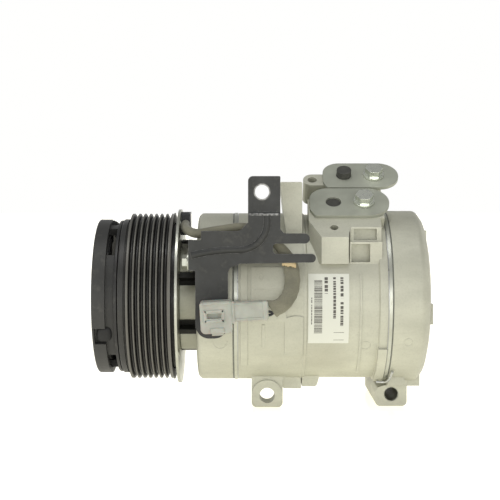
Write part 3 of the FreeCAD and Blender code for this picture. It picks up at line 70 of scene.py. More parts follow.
class Graph:
    """A material's node tree, with short calls for the nodes used here."""

    def __init__(self, name):
        self.material = bpy.data.materials.new(name)
        self.material.use_nodes = True
        self.tree = self.material.node_tree
        self.tree.nodes.clear()
        self.output = self.add("ShaderNodeOutputMaterial")
        self.shader = self.add("ShaderNodeBsdfPrincipled")
        self.link(self.shader.outputs["BSDF"], self.output.inputs["Surface"])
        self.place = self.add("ShaderNodeTexCoord").outputs["Object"]

    def add(self, kind, **settings):
        node = self.tree.nodes.new(kind)
        for key, setting in settings.items():
            setattr(node, key, setting)
        return node

    def link(self, start, end):
        self.tree.links.new(start, end)

    def feed(self, socket, source):
        if isinstance(source, bpy.types.NodeSocket):
            self.link(source, socket)
        else:
            socket.default_value = source

    def stretched(self, factors):
        node = self.add("ShaderNodeVectorMath", operation="MULTIPLY")
        self.link(self.place, node.inputs[0])
        node.inputs[1].default_value = factors
        return node.outputs[0]

    def noise(self, scale, detail=3.0, rough=0.55, vector=None):
        node = self.add("ShaderNodeTexNoise")
        self.link(vector or self.place, node.inputs["Vector"])
        node.inputs["Scale"].default_value = scale
        node.inputs["Detail"].default_value = detail
        node.inputs["Roughness"].default_value = rough
        return node.outputs["Fac"]

    def cells(self, scale, vector=None):
        node = self.add("ShaderNodeTexVoronoi", feature="F1")
        self.link(vector or self.place, node.inputs["Vector"])
        node.inputs["Scale"].default_value = scale
        return node.outputs["Distance"]

    def math(self, operation, first, second=0.0):
        node = self.add("ShaderNodeMath", operation=operation)
        self.feed(node.inputs[0], first)
        self.feed(node.inputs[1], second)
        return node.outputs[0]

    def spread(self, source, low, high, from_low=0.0, from_high=1.0):
        node = self.add("ShaderNodeMapRange")
        self.feed(node.inputs["Value"], source)
        node.inputs["From Min"].default_value = from_low
        node.inputs["From Max"].default_value = from_high
        node.inputs["To Min"].default_value = low
        node.inputs["To Max"].default_value = high
        return node.outputs["Result"]

    def mixed(self, factor, first, second):
        node = self.add("ShaderNodeMix", data_type="RGBA")
        self.feed(node.inputs["Factor"], factor)
        for socket, colour in ((node.inputs["A"], first), (node.inputs["B"], second)):
            self.feed(socket, colour if isinstance(colour, bpy.types.NodeSocket) else (*colour, 1.0))
        return node.outputs["Result"]

    def axes(self):
        node = self.add("ShaderNodeSeparateXYZ")
        self.link(self.place, node.inputs[0])
        return node.outputs

    def from_axis(self):
        """Distance from the shaft axis."""
        axes = self.axes()
        square = self.math("ADD", self.math("MULTIPLY", axes["Y"], axes["Y"]),
                           self.math("MULTIPLY", axes["Z"], axes["Z"]))
        return self.math("SQRT", square)

    def edges(self, radius):
        """1 on convex and concave edges, 0 on flats, from how far a bevel would turn the normal."""
        bevel = self.add("ShaderNodeBevel", samples=4)
        bevel.inputs["Radius"].default_value = radius
        plain = self.add("ShaderNodeNewGeometry")
        dot = self.add("ShaderNodeVectorMath", operation="DOT_PRODUCT")
        self.link(bevel.outputs["Normal"], dot.inputs[0])
        self.link(plain.outputs["Normal"], dot.inputs[1])
        return self.spread(dot.outputs["Value"], 1.0, 0.0, 0.80, 0.995)

    def relief(self, height, depth, strength, onto=None):
        bump = self.add("ShaderNodeBump")
        bump.inputs["Strength"].default_value = strength
        bump.inputs["Distance"].default_value = depth
        self.feed(bump.inputs["Height"], height)
        if onto is not None:
            self.link(onto, bump.inputs["Normal"])
        return bump.outputs["Normal"]

    def soft_normal(self, radius):
        bevel = self.add("ShaderNodeBevel", samples=4)
        bevel.inputs["Radius"].default_value = radius
        return bevel.outputs["Normal"]

    def finish(self, colour, rough, normal=None, metallic=0.0, **plain):
        self.feed(self.shader.inputs["Base Color"],
                  colour if isinstance(colour, bpy.types.NodeSocket) else (*colour, 1.0))
        self.feed(self.shader.inputs["Roughness"], rough)
        self.shader.inputs["Metallic"].default_value = metallic
        if normal is not None:
            self.link(normal, self.shader.inputs["Normal"])
        for socket, number in plain.items():
            self.shader.inputs[socket.replace("_", " ")].default_value = number
        return self.material


def tinted(colour, factor):
    return tuple(min(1.0, channel * factor) for channel in colour)


# ---------------------------------------------------------------- materials

CAST_GREY = (0.50, 0.50, 0.415)
STAIN_BROWN = (0.41, 0.395, 0.31)
RUBBED_GREY = (0.66, 0.66, 0.62)
# Painted shade: near-black colour laid on the nose recess of the front housing.
NOSE_SHADE_BLACK = (0.020, 0.020, 0.017)
NOSE_EDGE = (0.0363, 0.0372)
NOSE_END = (0.0290, 0.0297)


def cast_aluminium(name="cast_aluminium", colour=CAST_GREY, painted_nose_shade=False):
    """Bead-blasted die casting: fine grain, flow marks, stains, rubbed edges and, if asked, painted shade
    that darkens the nose recess.
    """
    g = Graph(name)
    grain = g.cells(2600.0)
    pits = g.noise(900.0, 4.0)
    flow = g.noise(55.0, 5.0, 0.6, g.stretched((0.45, 1.0, 1.0)))
    stain = g.noise(22.0, 3.0, 0.5)
    rubbed = g.edges(0.0006)
    base = g.mixed(g.spread(flow, 0.0, 1.0, 0.35, 0.65), tinted(colour, 0.90), tinted(colour, 1.07))
    base = g.mixed(g.spread(stain, 0.0, 0.5, 0.52, 0.75), base, STAIN_BROWN)
    base = g.mixed(g.spread(pits, 0.0, 0.22, 0.5, 0.8), base, tinted(colour, 0.66))
    base = g.mixed(g.math("MULTIPLY", rubbed, 0.35), base, RUBBED_GREY)
    rough = g.math("SUBTRACT", g.spread(pits, 0.44, 0.62, 0.3, 0.7), g.math("MULTIPLY", rubbed, 0.12))
    normal = g.relief(grain, 0.00006, 0.55, g.soft_normal(0.0005))
    normal = g.relief(pits, 0.00010, 0.45, normal)
    normal = g.relief(flow, 0.00035, 0.25, normal)
    # Painted shade: close to the shaft axis and short of x = 29 mm the nose is mixed to near black to stand
    # in for its deep shade.
    if painted_nose_shade:
        nose = g.math("MULTIPLY", g.spread(g.from_axis(), 1.0, 0.0, *NOSE_EDGE),
                      g.spread(g.axes()["X"], 1.0, 0.0, *NOSE_END))
        base = g.mixed(nose, base, NOSE_SHADE_BLACK)
    return g.finish(base, rough, normal, metallic=0.35, Specular_IOR_Level=0.4)


DUST = (0.30, 0.29, 0.25)


def painted(name, colour, rough, edge_colour, edge_amount, peel=1200.0, peel_depth=0.00003, metallic=0.0):
    """Sprayed or dipped coat over steel: orange peel, dust and thin bright edges."""
    g = Graph(name)
    peel_height = g.noise(peel, 2.0)
    dust = g.noise(160.0, 6.0, 0.65)
    haze = g.noise(30.0, 3.0)
    worn = g.edges(0.0004)
    base = g.mixed(g.spread(haze, 0.0, 1.0, 0.35, 0.7), tinted(colour, 0.82), tinted(colour, 1.22))
    base = g.mixed(g.spread(dust, 0.0, 0.20, 0.55, 0.8), base, DUST)
    chips = g.spread(g.noise(420.0, 4.0), edge_amount * 0.4, edge_amount, 0.35, 0.6)
    base = g.mixed(g.math("MULTIPLY", worn, chips), base, edge_colour)
    varied = g.spread(dust, rough - 0.06, rough + 0.12, 0.3, 0.75)
    normal = g.relief(peel_height, peel_depth, 0.5, g.soft_normal(0.0004))
    normal = g.relief(dust, 0.00002, 0.4, normal)
    return g.finish(base, varied, normal, metallic=metallic, Specular_IOR_Level=0.5)


FOLD_HEIGHT = 0.0545
FOLD_MIDDLE = 0.0714
FOLD_HALF_WIDTH = (0.0080, 0.0105)
HOLE_COLLAR = (0.0047, 0.0053)


def bracket_paint():
    """Dark dip coat on the bracket, lighter round its hole, and lighter along the tab's fold as part wear
    and part painted highlight.
    """
    g = Graph("bracket_paint")
    dust = g.noise(150.0, 6.0, 0.65)
    haze = g.noise(34.0, 3.0)
    flecks = g.noise(520.0, 4.0, 0.6)
    worn = g.edges(0.0004)
    axes = g.axes()
    hole = MOUNTS["bracket_tab"]
    above_fold = g.math("ABSOLUTE", g.math("SUBTRACT", axes["Z"], FOLD_HEIGHT))
    beside_middle = g.math("ABSOLUTE", g.math("SUBTRACT", axes["X"], FOLD_MIDDLE))
    # Painted highlight, with some wear: a thin light band along the tab's fold, where the bend catches the
    # light.
    fold_highlight = g.spread(above_fold, 1.0, 0.0, 0.0002, 0.0009)
    across = g.spread(beside_middle, 1.0, 0.0, *FOLD_HALF_WIDTH)
    from_hole = g.math("SQRT", g.math("ADD", g.math("POWER", g.math("SUBTRACT", axes["X"], hole.x), 2.0),
                                      g.math("POWER", g.math("SUBTRACT", axes["Z"], hole.z), 2.0)))
    collar = g.spread(from_hole, 1.0, 0.0, *HOLE_COLLAR)
    bare_and_fold_highlight = g.math("MULTIPLY", g.math("MULTIPLY", fold_highlight, across), g.spread(flecks, 0.15, 0.9, 0.42, 0.58))
    bare_and_fold_highlight = g.math("MAXIMUM", bare_and_fold_highlight, g.math("MULTIPLY", collar, g.spread(flecks, 0.35, 0.8, 0.4, 0.6)))
    bare_and_fold_highlight = g.math("MAXIMUM", bare_and_fold_highlight, g.math("MULTIPLY", worn, g.spread(flecks, 0.1, 0.6, 0.38, 0.6)))
    base = g.mixed(g.spread(haze, 0.0, 1.0, 0.35, 0.7), (0.021, 0.022, 0.021), (0.036, 0.037, 0.035))
    base = g.mixed(g.spread(dust, 0.0, 0.22, 0.55, 0.8), base, (0.24, 0.23, 0.20))
    # The light grey here is bare metal on worn edges and round the hole, and painted highlight along the
    # fold.
    base = g.mixed(bare_and_fold_highlight, base, (0.50, 0.50, 0.48))
    normal = g.relief(g.noise(1200.0, 2.0), 0.00003, 0.5, g.soft_normal(0.0004))
    normal = g.relief(dust, 0.00003, 0.4, normal)
    return g.finish(base, g.spread(dust, 0.40, 0.58, 0.3, 0.75), normal, metallic=0.15)


CREST_RADIUS = (0.0527, 0.0537)
FRONT_FLANGE = (-0.0146, -0.0138)


def belt_track():
    """Pulley paint, greyer on the front flange and lighter on the crests of the ribs, part wear and part
    painted highlight.
    """
    g = Graph("black_steel_track_crest_highlight")
    peel = g.noise(1500.0, 2.0)
    dust = g.noise(140.0, 6.0, 0.65)
    turn_marks = g.noise(900.0, 2.0, 0.5, g.stretched((6.0, 0.12, 0.12)))
    # Painted highlight, with some wear: the rib crests, 52.7 to 53.7 mm from the axis, are mixed towards
    # light grey below.
    crest = g.spread(g.from_axis(), 0.0, 1.0, *CREST_RADIUS)
    worn = g.edges(0.0003)
    flange = g.spread(g.axes()["X"], 1.0, 0.0, *FRONT_FLANGE)
    base = g.mixed(flange, (0.011, 0.011, 0.010), (0.036, 0.036, 0.034))
    base = g.mixed(g.spread(dust, 0.0, 0.30, 0.5, 0.8), base, (0.11, 0.105, 0.09))
    base = g.mixed(g.math("MULTIPLY", crest, 0.75), base, (0.17, 0.165, 0.145))
    base = g.mixed(g.math("MULTIPLY", worn, 0.30), base, (0.26, 0.25, 0.22))
    normal = g.relief(peel, 0.00002, 0.5, g.soft_normal(0.0003))
    normal = g.relief(turn_marks, 0.00003, 0.35, normal)
    return g.finish(base, g.spread(dust, 0.34, 0.52, 0.3, 0.7), normal, metallic=0.25)


TURNING_PITCH = 24000.0


def plated(name, colour, rough, tint, turned_marks=False):
    """Zinc plate or bare steel with fine handling marks; turned marks run round the shaft axis."""
    g = Graph(name)
    blotch = g.noise(260.0, 5.0, 0.6)
    fine = g.noise(1900.0, 3.0)
    if turned_marks:
        lines = g.math("SINE", g.math("MULTIPLY", g.from_axis(), TURNING_PITCH))
        fine = g.math("MULTIPLY", g.math("ADD", lines, g.math("MULTIPLY", fine, 2.0)), 0.4)
    worn = g.edges(0.0003)
    base = g.mixed(g.spread(blotch, 0.0, 0.45, 0.45, 0.75), colour, tint)
    base = g.mixed(g.math("MULTIPLY", worn, 0.4), base, tinted(colour, 1.25))
    varied = g.spread(blotch, rough - 0.07, rough + 0.10, 0.3, 0.7)
    normal = g.relief(fine, 0.00002, 0.35, g.soft_normal(0.0003))
    return g.finish(base, varied, normal, metallic=0.95)


def rubber(name, colour, rough=0.62):
    """Rubber or resin with a dull bloom and a fine skin."""
    g = Graph(name)
    bloom = g.noise(190.0, 5.0, 0.65)
    skin = g.cells(2100.0)
    base = g.mixed(g.spread(bloom, 0.0, 0.5, 0.45, 0.8), colour, tinted(colour, 2.6))
    base = g.mixed(g.math("MULTIPLY", g.edges(0.0004), 0.3), base, tinted(colour, 3.5))
    normal = g.relief(skin, 0.00004, 0.4, g.soft_normal(0.0004))
    varied = g.spread(bloom, rough - 0.1, rough + 0.12, 0.3, 0.7)
    return g.finish(base, varied, normal, Specular_IOR_Level=0.35)


def nylon():
    """Natural nylon moulding, slightly translucent, with sink and gate marks."""
    g = Graph("connector_plastic")
    cloud = g.noise(120.0, 4.0, 0.6)
    spark = g.cells(1700.0)
    dirt = g.noise(330.0, 5.0, 0.7)
    base = g.mixed(g.spread(cloud, 0.0, 1.0, 0.35, 0.7), (0.345, 0.35, 0.305), (0.43, 0.44, 0.39))
    base = g.mixed(g.spread(dirt, 0.0, 0.30, 0.58, 0.8), base, (0.29, 0.28, 0.23))
    normal = g.relief(spark, 0.00003, 0.35, g.soft_normal(0.0005))
    normal = g.relief(cloud, 0.00008, 0.25, normal)
    return g.finish(base, g.spread(dirt, 0.36, 0.52, 0.3, 0.7), normal, Subsurface_Weight=0.22,
                    Subsurface_Scale=0.003, Specular_IOR_Level=0.5)


def braid():
    """Olive sleeve over the lead: fine woven texture with creases."""
    g = Graph("sleeve_braid")
    weave = g.cells(1500.0, g.stretched((1.0, 1.0, 1.7)))
    crease = g.noise(230.0, 4.0, 0.6, g.stretched((1.0, 1.0, 2.4)))
    soil = g.noise(70.0, 4.0)
    base = g.mixed(g.spread(soil, 0.0, 1.0, 0.35, 0.7), (0.155, 0.150, 0.105), (0.245, 0.235, 0.165))
    base = g.mixed(g.spread(weave, 0.0, 0.35, 0.25, 0.8), base, (0.10, 0.095, 0.07))
    normal = g.relief(weave, 0.00010, 0.5)
    normal = g.relief(crease, 0.0005, 0.45, normal)
    return g.finish(base, g.spread(crease, 0.55, 0.75, 0.3, 0.7), normal, Sheen_Weight=0.15)


def film(name, colour):
    """Printed or plain film with a faint fibre and a few scuffs."""
    g = Graph(name)
    fibre = g.noise(1300.0, 4.0, 0.6)
    scuff = g.noise(240.0, 6.0, 0.7)
    base = g.mixed(g.spread(scuff, 0.0, 0.25, 0.55, 0.85), colour, tinted(colour, 0.82))
    normal = g.relief(fibre, 0.00001, 0.4)
    return g.finish(base, g.spread(fibre, 0.38, 0.55, 0.3, 0.7), normal)


MATERIALS = {
    "cast_aluminium": cast_aluminium(),
    "black_steel": painted("black_steel", (0.014, 0.014, 0.0135), 0.40, (0.20, 0.19, 0.17), 0.45),
    "hub_paint": painted("hub_paint", (0.031, 0.031, 0.029), 0.50, (0.15, 0.145, 0.13), 0.4),
    "bracket_paint": bracket_paint(),
    "zinc_plate": plated("zinc_plate", (0.50, 0.51, 0.45), 0.38, (0.42, 0.41, 0.32)),
    "cap_plate": painted("cap_plate", (0.355, 0.37, 0.31), 0.50, (0.48, 0.48, 0.44), 0.6, peel=1600.0,
                         peel_depth=0.00002, metallic=0.35),
    "ground_steel": plated("ground_steel", (0.58, 0.58, 0.57), 0.22, (0.50, 0.49, 0.46), turned_marks=True),
    "spring_steel": plated("spring_steel", (0.50, 0.51, 0.51), 0.30, (0.38, 0.40, 0.44)),
    "piston_aluminium": plated("piston_aluminium", (0.62, 0.62, 0.61), 0.38, (0.50, 0.50, 0.48)),
    "bearing_steel": plated("bearing_steel", (0.60, 0.60, 0.60), 0.18, (0.52, 0.51, 0.50),
                            turned_marks=True),
    "damper_rubber": rubber("damper_rubber", (0.016, 0.016, 0.016)),
    "plug_rubber": rubber("plug_rubber", (0.052, 0.052, 0.046)),
    "gasket": rubber("gasket", (0.14, 0.145, 0.125), 0.5),
    "coil_resin": rubber("coil_resin", (0.020, 0.021, 0.022), 0.4),
    "connector_plastic": nylon(),
    "sleeve": braid(),
    "label_paper": film("label_paper", (0.66, 0.67, 0.60)),
}
PRINT_INK = film("print_ink", (0.10, 0.095, 0.085))
TAPE = film("tan_tape", (0.55, 0.43, 0.24))
WIRE = rubber("wire_insulation", (0.030, 0.030, 0.032), 0.45)

SPECIAL = {
    "pulley": belt_track(),
    # The front housing's casting carries painted shade in its nose recess.
    "front_housing": cast_aluminium("cast_aluminium_nose_shade", painted_nose_shade=True),
    "cap_bolts": plated("zinc_bright", (0.80, 0.83, 0.75), 0.27, (0.60, 0.60, 0.50)),
}


def dress_frame():
    """Gives every CAD node the material of its slot."""
    for part in frame["record"]["subparts"]:
        piece = NODES[part["node"]]
        piece.data.materials.clear()
        piece.data.materials.append(SPECIAL.get(part["node"], MATERIALS[part["material_slot"]]))


# ---------------------------------------------------------------- mesh helpers

def mesh_piece(name, bm, body, material, smooth_angle=35.0):
    """Links a finished bmesh as a piece that rides on a body."""
    mesh = bpy.data.meshes.new(name)
    bmesh.ops.recalc_face_normals(bm, faces=bm.faces)
    bm.to_mesh(mesh)
    bm.free()
    piece = bpy.data.objects.new(name, mesh)
    bpy.context.scene.collection.objects.link(piece)
    mesh.shade_smooth()
    mesh.set_sharp_from_angle(angle=math.radians(smooth_angle))
    mesh.materials.append(material)
    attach(piece, body)
    return piece


def loft(bm, rings):
    """A closed skin over rings that all have the same number of points."""
    rows = [[bm.verts.new(point) for point in ring] for ring in rings]
    count = len(rows[0])
    for row, after in zip(rows, rows[1:]):
        for k in range(count):
            bm.faces.new((row[k], row[(k + 1) % count], after[(k + 1) % count], after[k]))
    bm.faces.new(rows[0][::-1])
    bm.faces.new(rows[-1])


def smooth_route(points, samples):
    """Points along the NURBS curve that has these control points."""
    data = bpy.data.curves.new("route", "CURVE")
    data.dimensions = "3D"
    data.resolution_u = samples
    spline = data.splines.new("NURBS")
    spline.points.add(len(points) - 1)
    for point, corner in zip(spline.points, points):
        point.co = (*corner, 1.0)
    spline.order_u = 3
    spline.use_endpoint_u = True
    holder = bpy.data.objects.new("route", data)
    bpy.context.scene.collection.objects.link(holder)
    bpy.context.view_layer.update()
    mesh = bpy.data.meshes.new_from_object(holder.evaluated_get(bpy.context.evaluated_depsgraph_get()))
    path = [vertex.co.copy() for vertex in mesh.vertices]
    bpy.data.objects.remove(holder)
    return path


def swept(path, section, flat_axis):
    """Rings of a tube along a path. section(share, angle) gives (across, along flat_axis) in metres."""
    rings = []
    steps = 28
    for i, centre in enumerate(path):
        ahead = path[min(i + 1, len(path) - 1)] - path[max(i - 1, 0)]
        ahead.normalize()
        side = (flat_axis - ahead * flat_axis.dot(ahead)).normalized()
        across = ahead.cross(side)
        share = i / (len(path) - 1)
        ring = []
        for k in range(steps):
            wide, thick = section(share, 2 * math.pi * k / steps)
            ring.append(centre + across * wide + side * thick)
        rings.append(ring)
    return rings


# ---------------------------------------------------------------- details on the casting and the label

def front_point(x, angle, radius):
    """A point round the shaft axis. Angles in degrees are seen from -Y, up is positive."""
    turn = math.radians(angle)
    return Vector((x, -radius * math.cos(turn), radius * math.sin(turn)))


def raised_line(bm, route, radius, width, height):
    """A low ridge on a cylinder about the shaft. Route points are (x, angle in degrees)."""
    rows = []
    for i, (x, angle) in enumerate(route):
        before, after = route[max(i - 1, 0)], route[min(i + 1, len(route) - 1)]
        ahead = front_point(*after, radius) - front_point(*before, radius)
        outward = front_point(0.0, angle, 1.0)
        side = ahead.cross(outward).normalized()
        foot, crest = front_point(x, angle, radius - 0.00005), front_point(x, angle, radius + height)
        rows.append([bm.verts.new(foot + side * width * 0.5), bm.verts.new(crest + side * width * 0.3),
                     bm.verts.new(crest - side * width * 0.3), bm.verts.new(foot - side * width * 0.5)])
    for row, after in zip(rows, rows[1:]):
        for k in range(3):
            bm.faces.new((row[k], row[k + 1], after[k + 1], after[k]))
    bm.faces.new(rows[0][::-1])
    bm.faces.new(rows[-1])


def ring_route(x, angle, across, along, radius, start=0.0, sweep=360.0):
    """Part of an ellipse laid on the cylinder, across in x and along its curve, in metres."""
    route = []
    steps = 28
    for k in range(steps + 1):
        turn = math.radians(start + sweep * k / steps)
        route.append((x + across * math.cos(turn), angle + math.degrees(along * math.sin(turn) / radius)))
    return route


JOINT_BAND = 54.7 * MM
FRONT_CASTINGS = 54.0 * MM
REAR_BLOCK = 53.2 * MM
REAR_COVER = 55.5 * MM


def casting_marks():
    """Mould parting line, ribs and round ejector marks, in the same metal as the castings."""
    bm = bmesh.new()

    def ridge(route, radius, width, height):
        raised_line(bm, route, radius, width * MM, height * MM)

    def ejector(x, angle, across, along, radius, width, height, **arc):
        ridge(ring_route(x * MM, angle, across * MM, along * MM, radius, **arc), radius, width, height)

    ridge([(x * MM, 9.4) for x in range(64, 86)], JOINT_BAND, 0.40, 0.10)
    ridge([(x * MM, 9.5) for x in range(86, 95)], FRONT_CASTINGS, 0.40, 0.10)
    ejector(69.5, 17.2, 1.2, 1.9, JOINT_BAND, 0.45, 0.22)
    ridge([(71.0 * MM, -14.0 - k) for k in range(18)], FRONT_CASTINGS, 2.4, 0.40)
    ejector(44.2, -26.0, 4.4, 5.6, FRONT_CASTINGS, 0.55, 0.20, start=180.0, sweep=180.0)
    ejector(134.0, -30.0, 3.0, 3.0, REAR_BLOCK, 0.45, 0.18)
    ejector(160.0, -26.0, 2.6, 2.6, REAR_COVER, 0.45, 0.18)
    ejector(160.0, 168.0, 7.5, 7.5, REAR_COVER, 0.60, 0.25)
    ridge([(x * MM, 150.0) for x in range(100, 141)], REAR_BLOCK, 1.2, 0.50)
    mesh_piece("casting_marks", bm, "casing", MATERIALS["cast_aluminium"])


LABEL_FACE = 53.57 * MM
DASH_COLUMNS = ((108.3, 110.3, 17.3, 6.5), (113.6, 115.2, 17.3, -10.0), (118.0, 119.8, 17.3, 3.5),
                (118.0, 119.8, 1.0, -15.0), (100.2, 100.7, 4.0, -14.0))


def label_print():
    """Stand-in print: a bar field and rows of dashes that read as nothing."""
    rng = random.Random(7)
    bm = bmesh.new()

    def patch(x_low, x_high, top, bottom):
        steps = max(1, int(top - bottom))
        rows = []
        for k in range(steps + 1):
            angle = top + (bottom - top) * k / steps
            rows.append([bm.verts.new(front_point(x * MM, angle, LABEL_FACE)) for x in (x_low, x_high)])
        for row, after in zip(rows, rows[1:]):
            bm.faces.new((row[0], row[1], after[1], after[0]))

    place = 15.2
    while place > -20.5:
        bar = rng.choice((0.22, 0.30, 0.45, 0.62))
        patch(102.0, 106.9, place, place - bar)
        place -= bar + rng.choice((0.28, 0.36, 0.50))
    for x_low, x_high, top, bottom in DASH_COLUMNS:
        place = top
        while place > bottom:
            dash = rng.uniform(0.9, 2.2)
            patch(x_low, x_high, place, max(bottom, place - dash))
            place -= dash + rng.choice((0.35, 0.45, 1.1))
    patch(114.0, 120.4, -19.6, -19.9)
    patch(114.0, 120.4, -25.2, -25.5)
    ink = mesh_piece("label_print", bm, "casing", PRINT_INK)
    thick = ink.modifiers.new("ink", "SOLIDIFY")
    thick.thickness = 0.02 * MM


# ---------------------------------------------------------------- coil lead

LEAD_ROUTE = [(73.9, -68.5, -1.75), (80.3, -68.3, -1.4), (86.5, -64.5, 5.5), (88.8, -58.3, 12.8),
              (87.8, -51.0, 25.2), (80.0, -49.6, 36.0), (70.0, -48.2, 43.0), (59.0, -47.0, 46.8),
              (48.0, -46.5, 45.2), (38.0, -45.2, 43.6), (29.6, -42.5, 41.8), (22.4, -31.0, 44.5),
              (21.3, -17.0, 47.0), (21.3, -9.05, 47.0)]


def eased(share, start, end):
    """0 before start, 1 after end, smooth in between."""
    t = min(1.0, max(0.0, (share - start) / (end - start)))
    return t * t * (3.0 - 2.0 * t)


def lead_sleeve():
    """Woven sleeve, squeezed flat from the connector to the bracket and open at its lower end."""
    path = smooth_route([tuple(c * MM for c in point) for point in LEAD_ROUTE], 12)

    def section(share, turn):
        round_part = eased(share, 0.26, 0.40)
        mouth = 1.0 - eased(share, 0.0, 0.05)
        crease = 0.10 * math.sin(share * 150.0 + 2.0 * turn) + 0.05 * math.sin(share * 410.0 + 3.0 * turn)
        wide = (4.7 + 0.5 * mouth + crease) * (1.0 - round_part) + 2.9 * round_part
        thick = (1.9 + 0.8 * mouth + crease) * (1.0 - round_part) + 2.9 * round_part
        return wide * MM * math.cos(turn), thick * MM * math.sin(turn)

    rings = swept(path, section, Vector((0.0, 1.0, 0.0)))
    ahead = (path[2] - path[0]).normalized()
    down = Vector((0.0, 0.0, -1.0))
    for depth in range(6):
        bias = 0.55 * (1.0 - depth / 6.0)
        rings[depth] = [point + ahead * ((point - path[depth]).dot(down) * bias + 0.0028 * bias)
                        for point in rings[depth]]
    inner = [[path[depth] + (point - path[depth]) * 0.80 for point in rings[depth]] for depth in (4, 2, 0)]
    bm = bmesh.new()
    loft(bm, inner + rings)
    piece = mesh_piece("sleeve_woven", bm, "casing", MATERIALS["sleeve"], 60.0)
    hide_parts("lead_sleeve")


def tube_piece(name, points, material):
    """A wire or rod 1.6 mm thick along a route in millimetres."""
    path = smooth_route([tuple(c * MM for c in point) for point in points], 10)
    rings = swept(path, lambda share, turn: (0.8 * MM * math.cos(turn), 0.8 * MM * math.sin(turn)),
                  Vector((0.13, 0.97, 0.21)))
    bm = bmesh.new()
    loft(bm, rings)
    mesh_piece(name, bm, "casing", material, 50.0)


WIRE_ROUTES = {
    "lead_wire_one": [(71.5, -69.4, -2.9), (75.0, -69.8, -3.0), (78.0, -69.0, -4.6), (81.0, -68.4, -2.6),
                      (84.0, -67.0, 1.5)],
    "lead_wire_two": [(71.5, -67.2, -5.0), (74.6, -69.2, -6.0), (77.6, -69.8, -3.0), (80.4, -67.4, -0.6),
                      (84.5, -65.5, 3.0)],
}


def lead_trim():
    """Wires at the open end of the sleeve and a scrap of tape where it passes the bracket."""
    for name, route in WIRE_ROUTES.items():
        tube_piece(name, route, WIRE)
    rng = random.Random(3)
    bm = bmesh.new()
    steps = 12
    rows = []
    for k in range(steps + 1):
        x = 82.2 + 8.6 * k / steps
        low = 23.6 - 1.6 * k / steps + rng.uniform(-0.5, 0.4)
        high = low + 2.9 + rng.uniform(-0.6, 0.6)
        bulge = 1.9 * math.sin(math.pi * k / steps)
        rows.append([bm.verts.new((x * MM, (-55.6 - bulge * 0.35 + rng.uniform(-0.1, 0.1)) * MM, z * MM))
                     for z in (low, (low + high) / 2, high)])
    for row, after in zip(rows, rows[1:]):
        for k in range(2):
            bm.faces.new((row[k], row[k + 1], after[k + 1], after[k]))
    tape = mesh_piece("lead_tape", bm, "casing", TAPE, 25.0)
    thick = tape.modifiers.new("tape", "SOLIDIFY")
    thick.thickness = 0.25 * MM


# ---------------------------------------------------------------- connector details

CORNER_X = 32.8
CORNER_Z = 2.7
LEAN = math.radians(3.0)


def on_connector(u, v, y):
    """u along the connector and v up its front, in millimetres, from its tilted upper corner."""
    return Vector(((CORNER_X + u * math.cos(LEAN) - v * math.sin(LEAN)) * MM, y * MM,
                   (CORNER_Z + u * math.sin(LEAN) + v * math.cos(LEAN)) * MM))


def rounded_outline(u_low, u_high, v_low, v_high, radius):
    outline = []
    steps = 5
    corners = ((u_high - radius, v_high - radius, 0), (u_low + radius, v_high - radius, 90),
               (u_low + radius, v_low + radius, 180), (u_high - radius, v_low + radius, 270))
    for u, v, start in corners:
        for k in range(steps + 1):
            turn = math.radians(start + 90.0 * k / steps)
            outline.append((u + radius * math.cos(turn), v + radius * math.sin(turn)))
    return outline


def pad(bm, outline, back, front, bevel):
    """A plate on the connector's front with a bevelled edge; y values in millimetres."""
    mid_u = sum(u for u, _ in outline) / len(outline)
    mid_v = sum(v for _, v in outline) / len(outline)
    rings = []
    for y, share in ((back, 0.0), (front + bevel, 0.0), (front, 1.0)):
        ring = []
        for u, v in outline:
            kept = 1.0 - share * bevel / math.hypot(u - mid_u, v - mid_v)
            ring.append(on_connector(mid_u + (u - mid_u) * kept, mid_v + (v - mid_v) * kept, y))
        rings.append(ring)
    loft(bm, rings)


LATCH_FRAME = ((2.6, 14.2, -6.4, -4.9), (2.6, 14.2, -12.3, -10.8), (2.0, 3.6, -12.3, -4.9),
               (13.0, 14.6, -12.3, -4.9))


def connector_details():
    """Latch frame, guide ribs, rear collar and contacts of the coil connector."""
    bm = bmesh.new()
    for extent in LATCH_FRAME:
        pad(bm, rounded_outline(*extent, 0.5), -74.8, -75.5, 0.25)
    pad(bm, rounded_outline(0.6, 18.2, -1.7, -0.5, 0.4), -74.8, -75.4, 0.25)
    pad(bm, rounded_outline(5.6, 14.2, -18.5, -15.6, 0.8), -74.8, -75.6, 0.3)
    pad(bm, rounded_outline(19.2, 39.6, -2.9, -2.1, 0.35), -73.8, -74.3, 0.2)
    pad(bm, rounded_outline(19.2, 39.6, -11.5, -10.7, 0.35), -73.8, -74.3, 0.2)
    pad(bm, rounded_outline(37.4, 40.2, -12.6, -1.2, 0.8), -73.6, -74.5, 0.25)
    pad(bm, rounded_outline(18.6, 20.4, -13.6, -0.4, 0.6), -73.6, -74.7, 0.25)
    mesh_piece("connector_ribs", bm, "casing", MATERIALS["connector_plastic"], 40.0)
    bm = bmesh.new()
    for v in (-12.2, -7.6):
        pad(bm, rounded_outline(2.4, 10.6, v, v + 0.8, 0.3), -67.4, -70.4, 0.3)
    mesh_piece("connector_contacts", bm, "casing", MATERIALS["bearing_steel"], 40.0)


# ---------------------------------------------------------------- clutch and coil details

NOTCH_TOPS = (-19.0, 101.0, 221.0)
BUMPER_PROFILE = [(-31.8, 45.4), (-32.6, 47.6), (-31.6, 49.3), (-28.6, 49.6), (-25.4, 49.2), (-23.2, 47.9),
                  (-22.6, 46.2), (-23.6, 45.0), (-27.4, 44.6)]
BUMPER_X = -27.6
BUMPER_RADIUS = 47.0


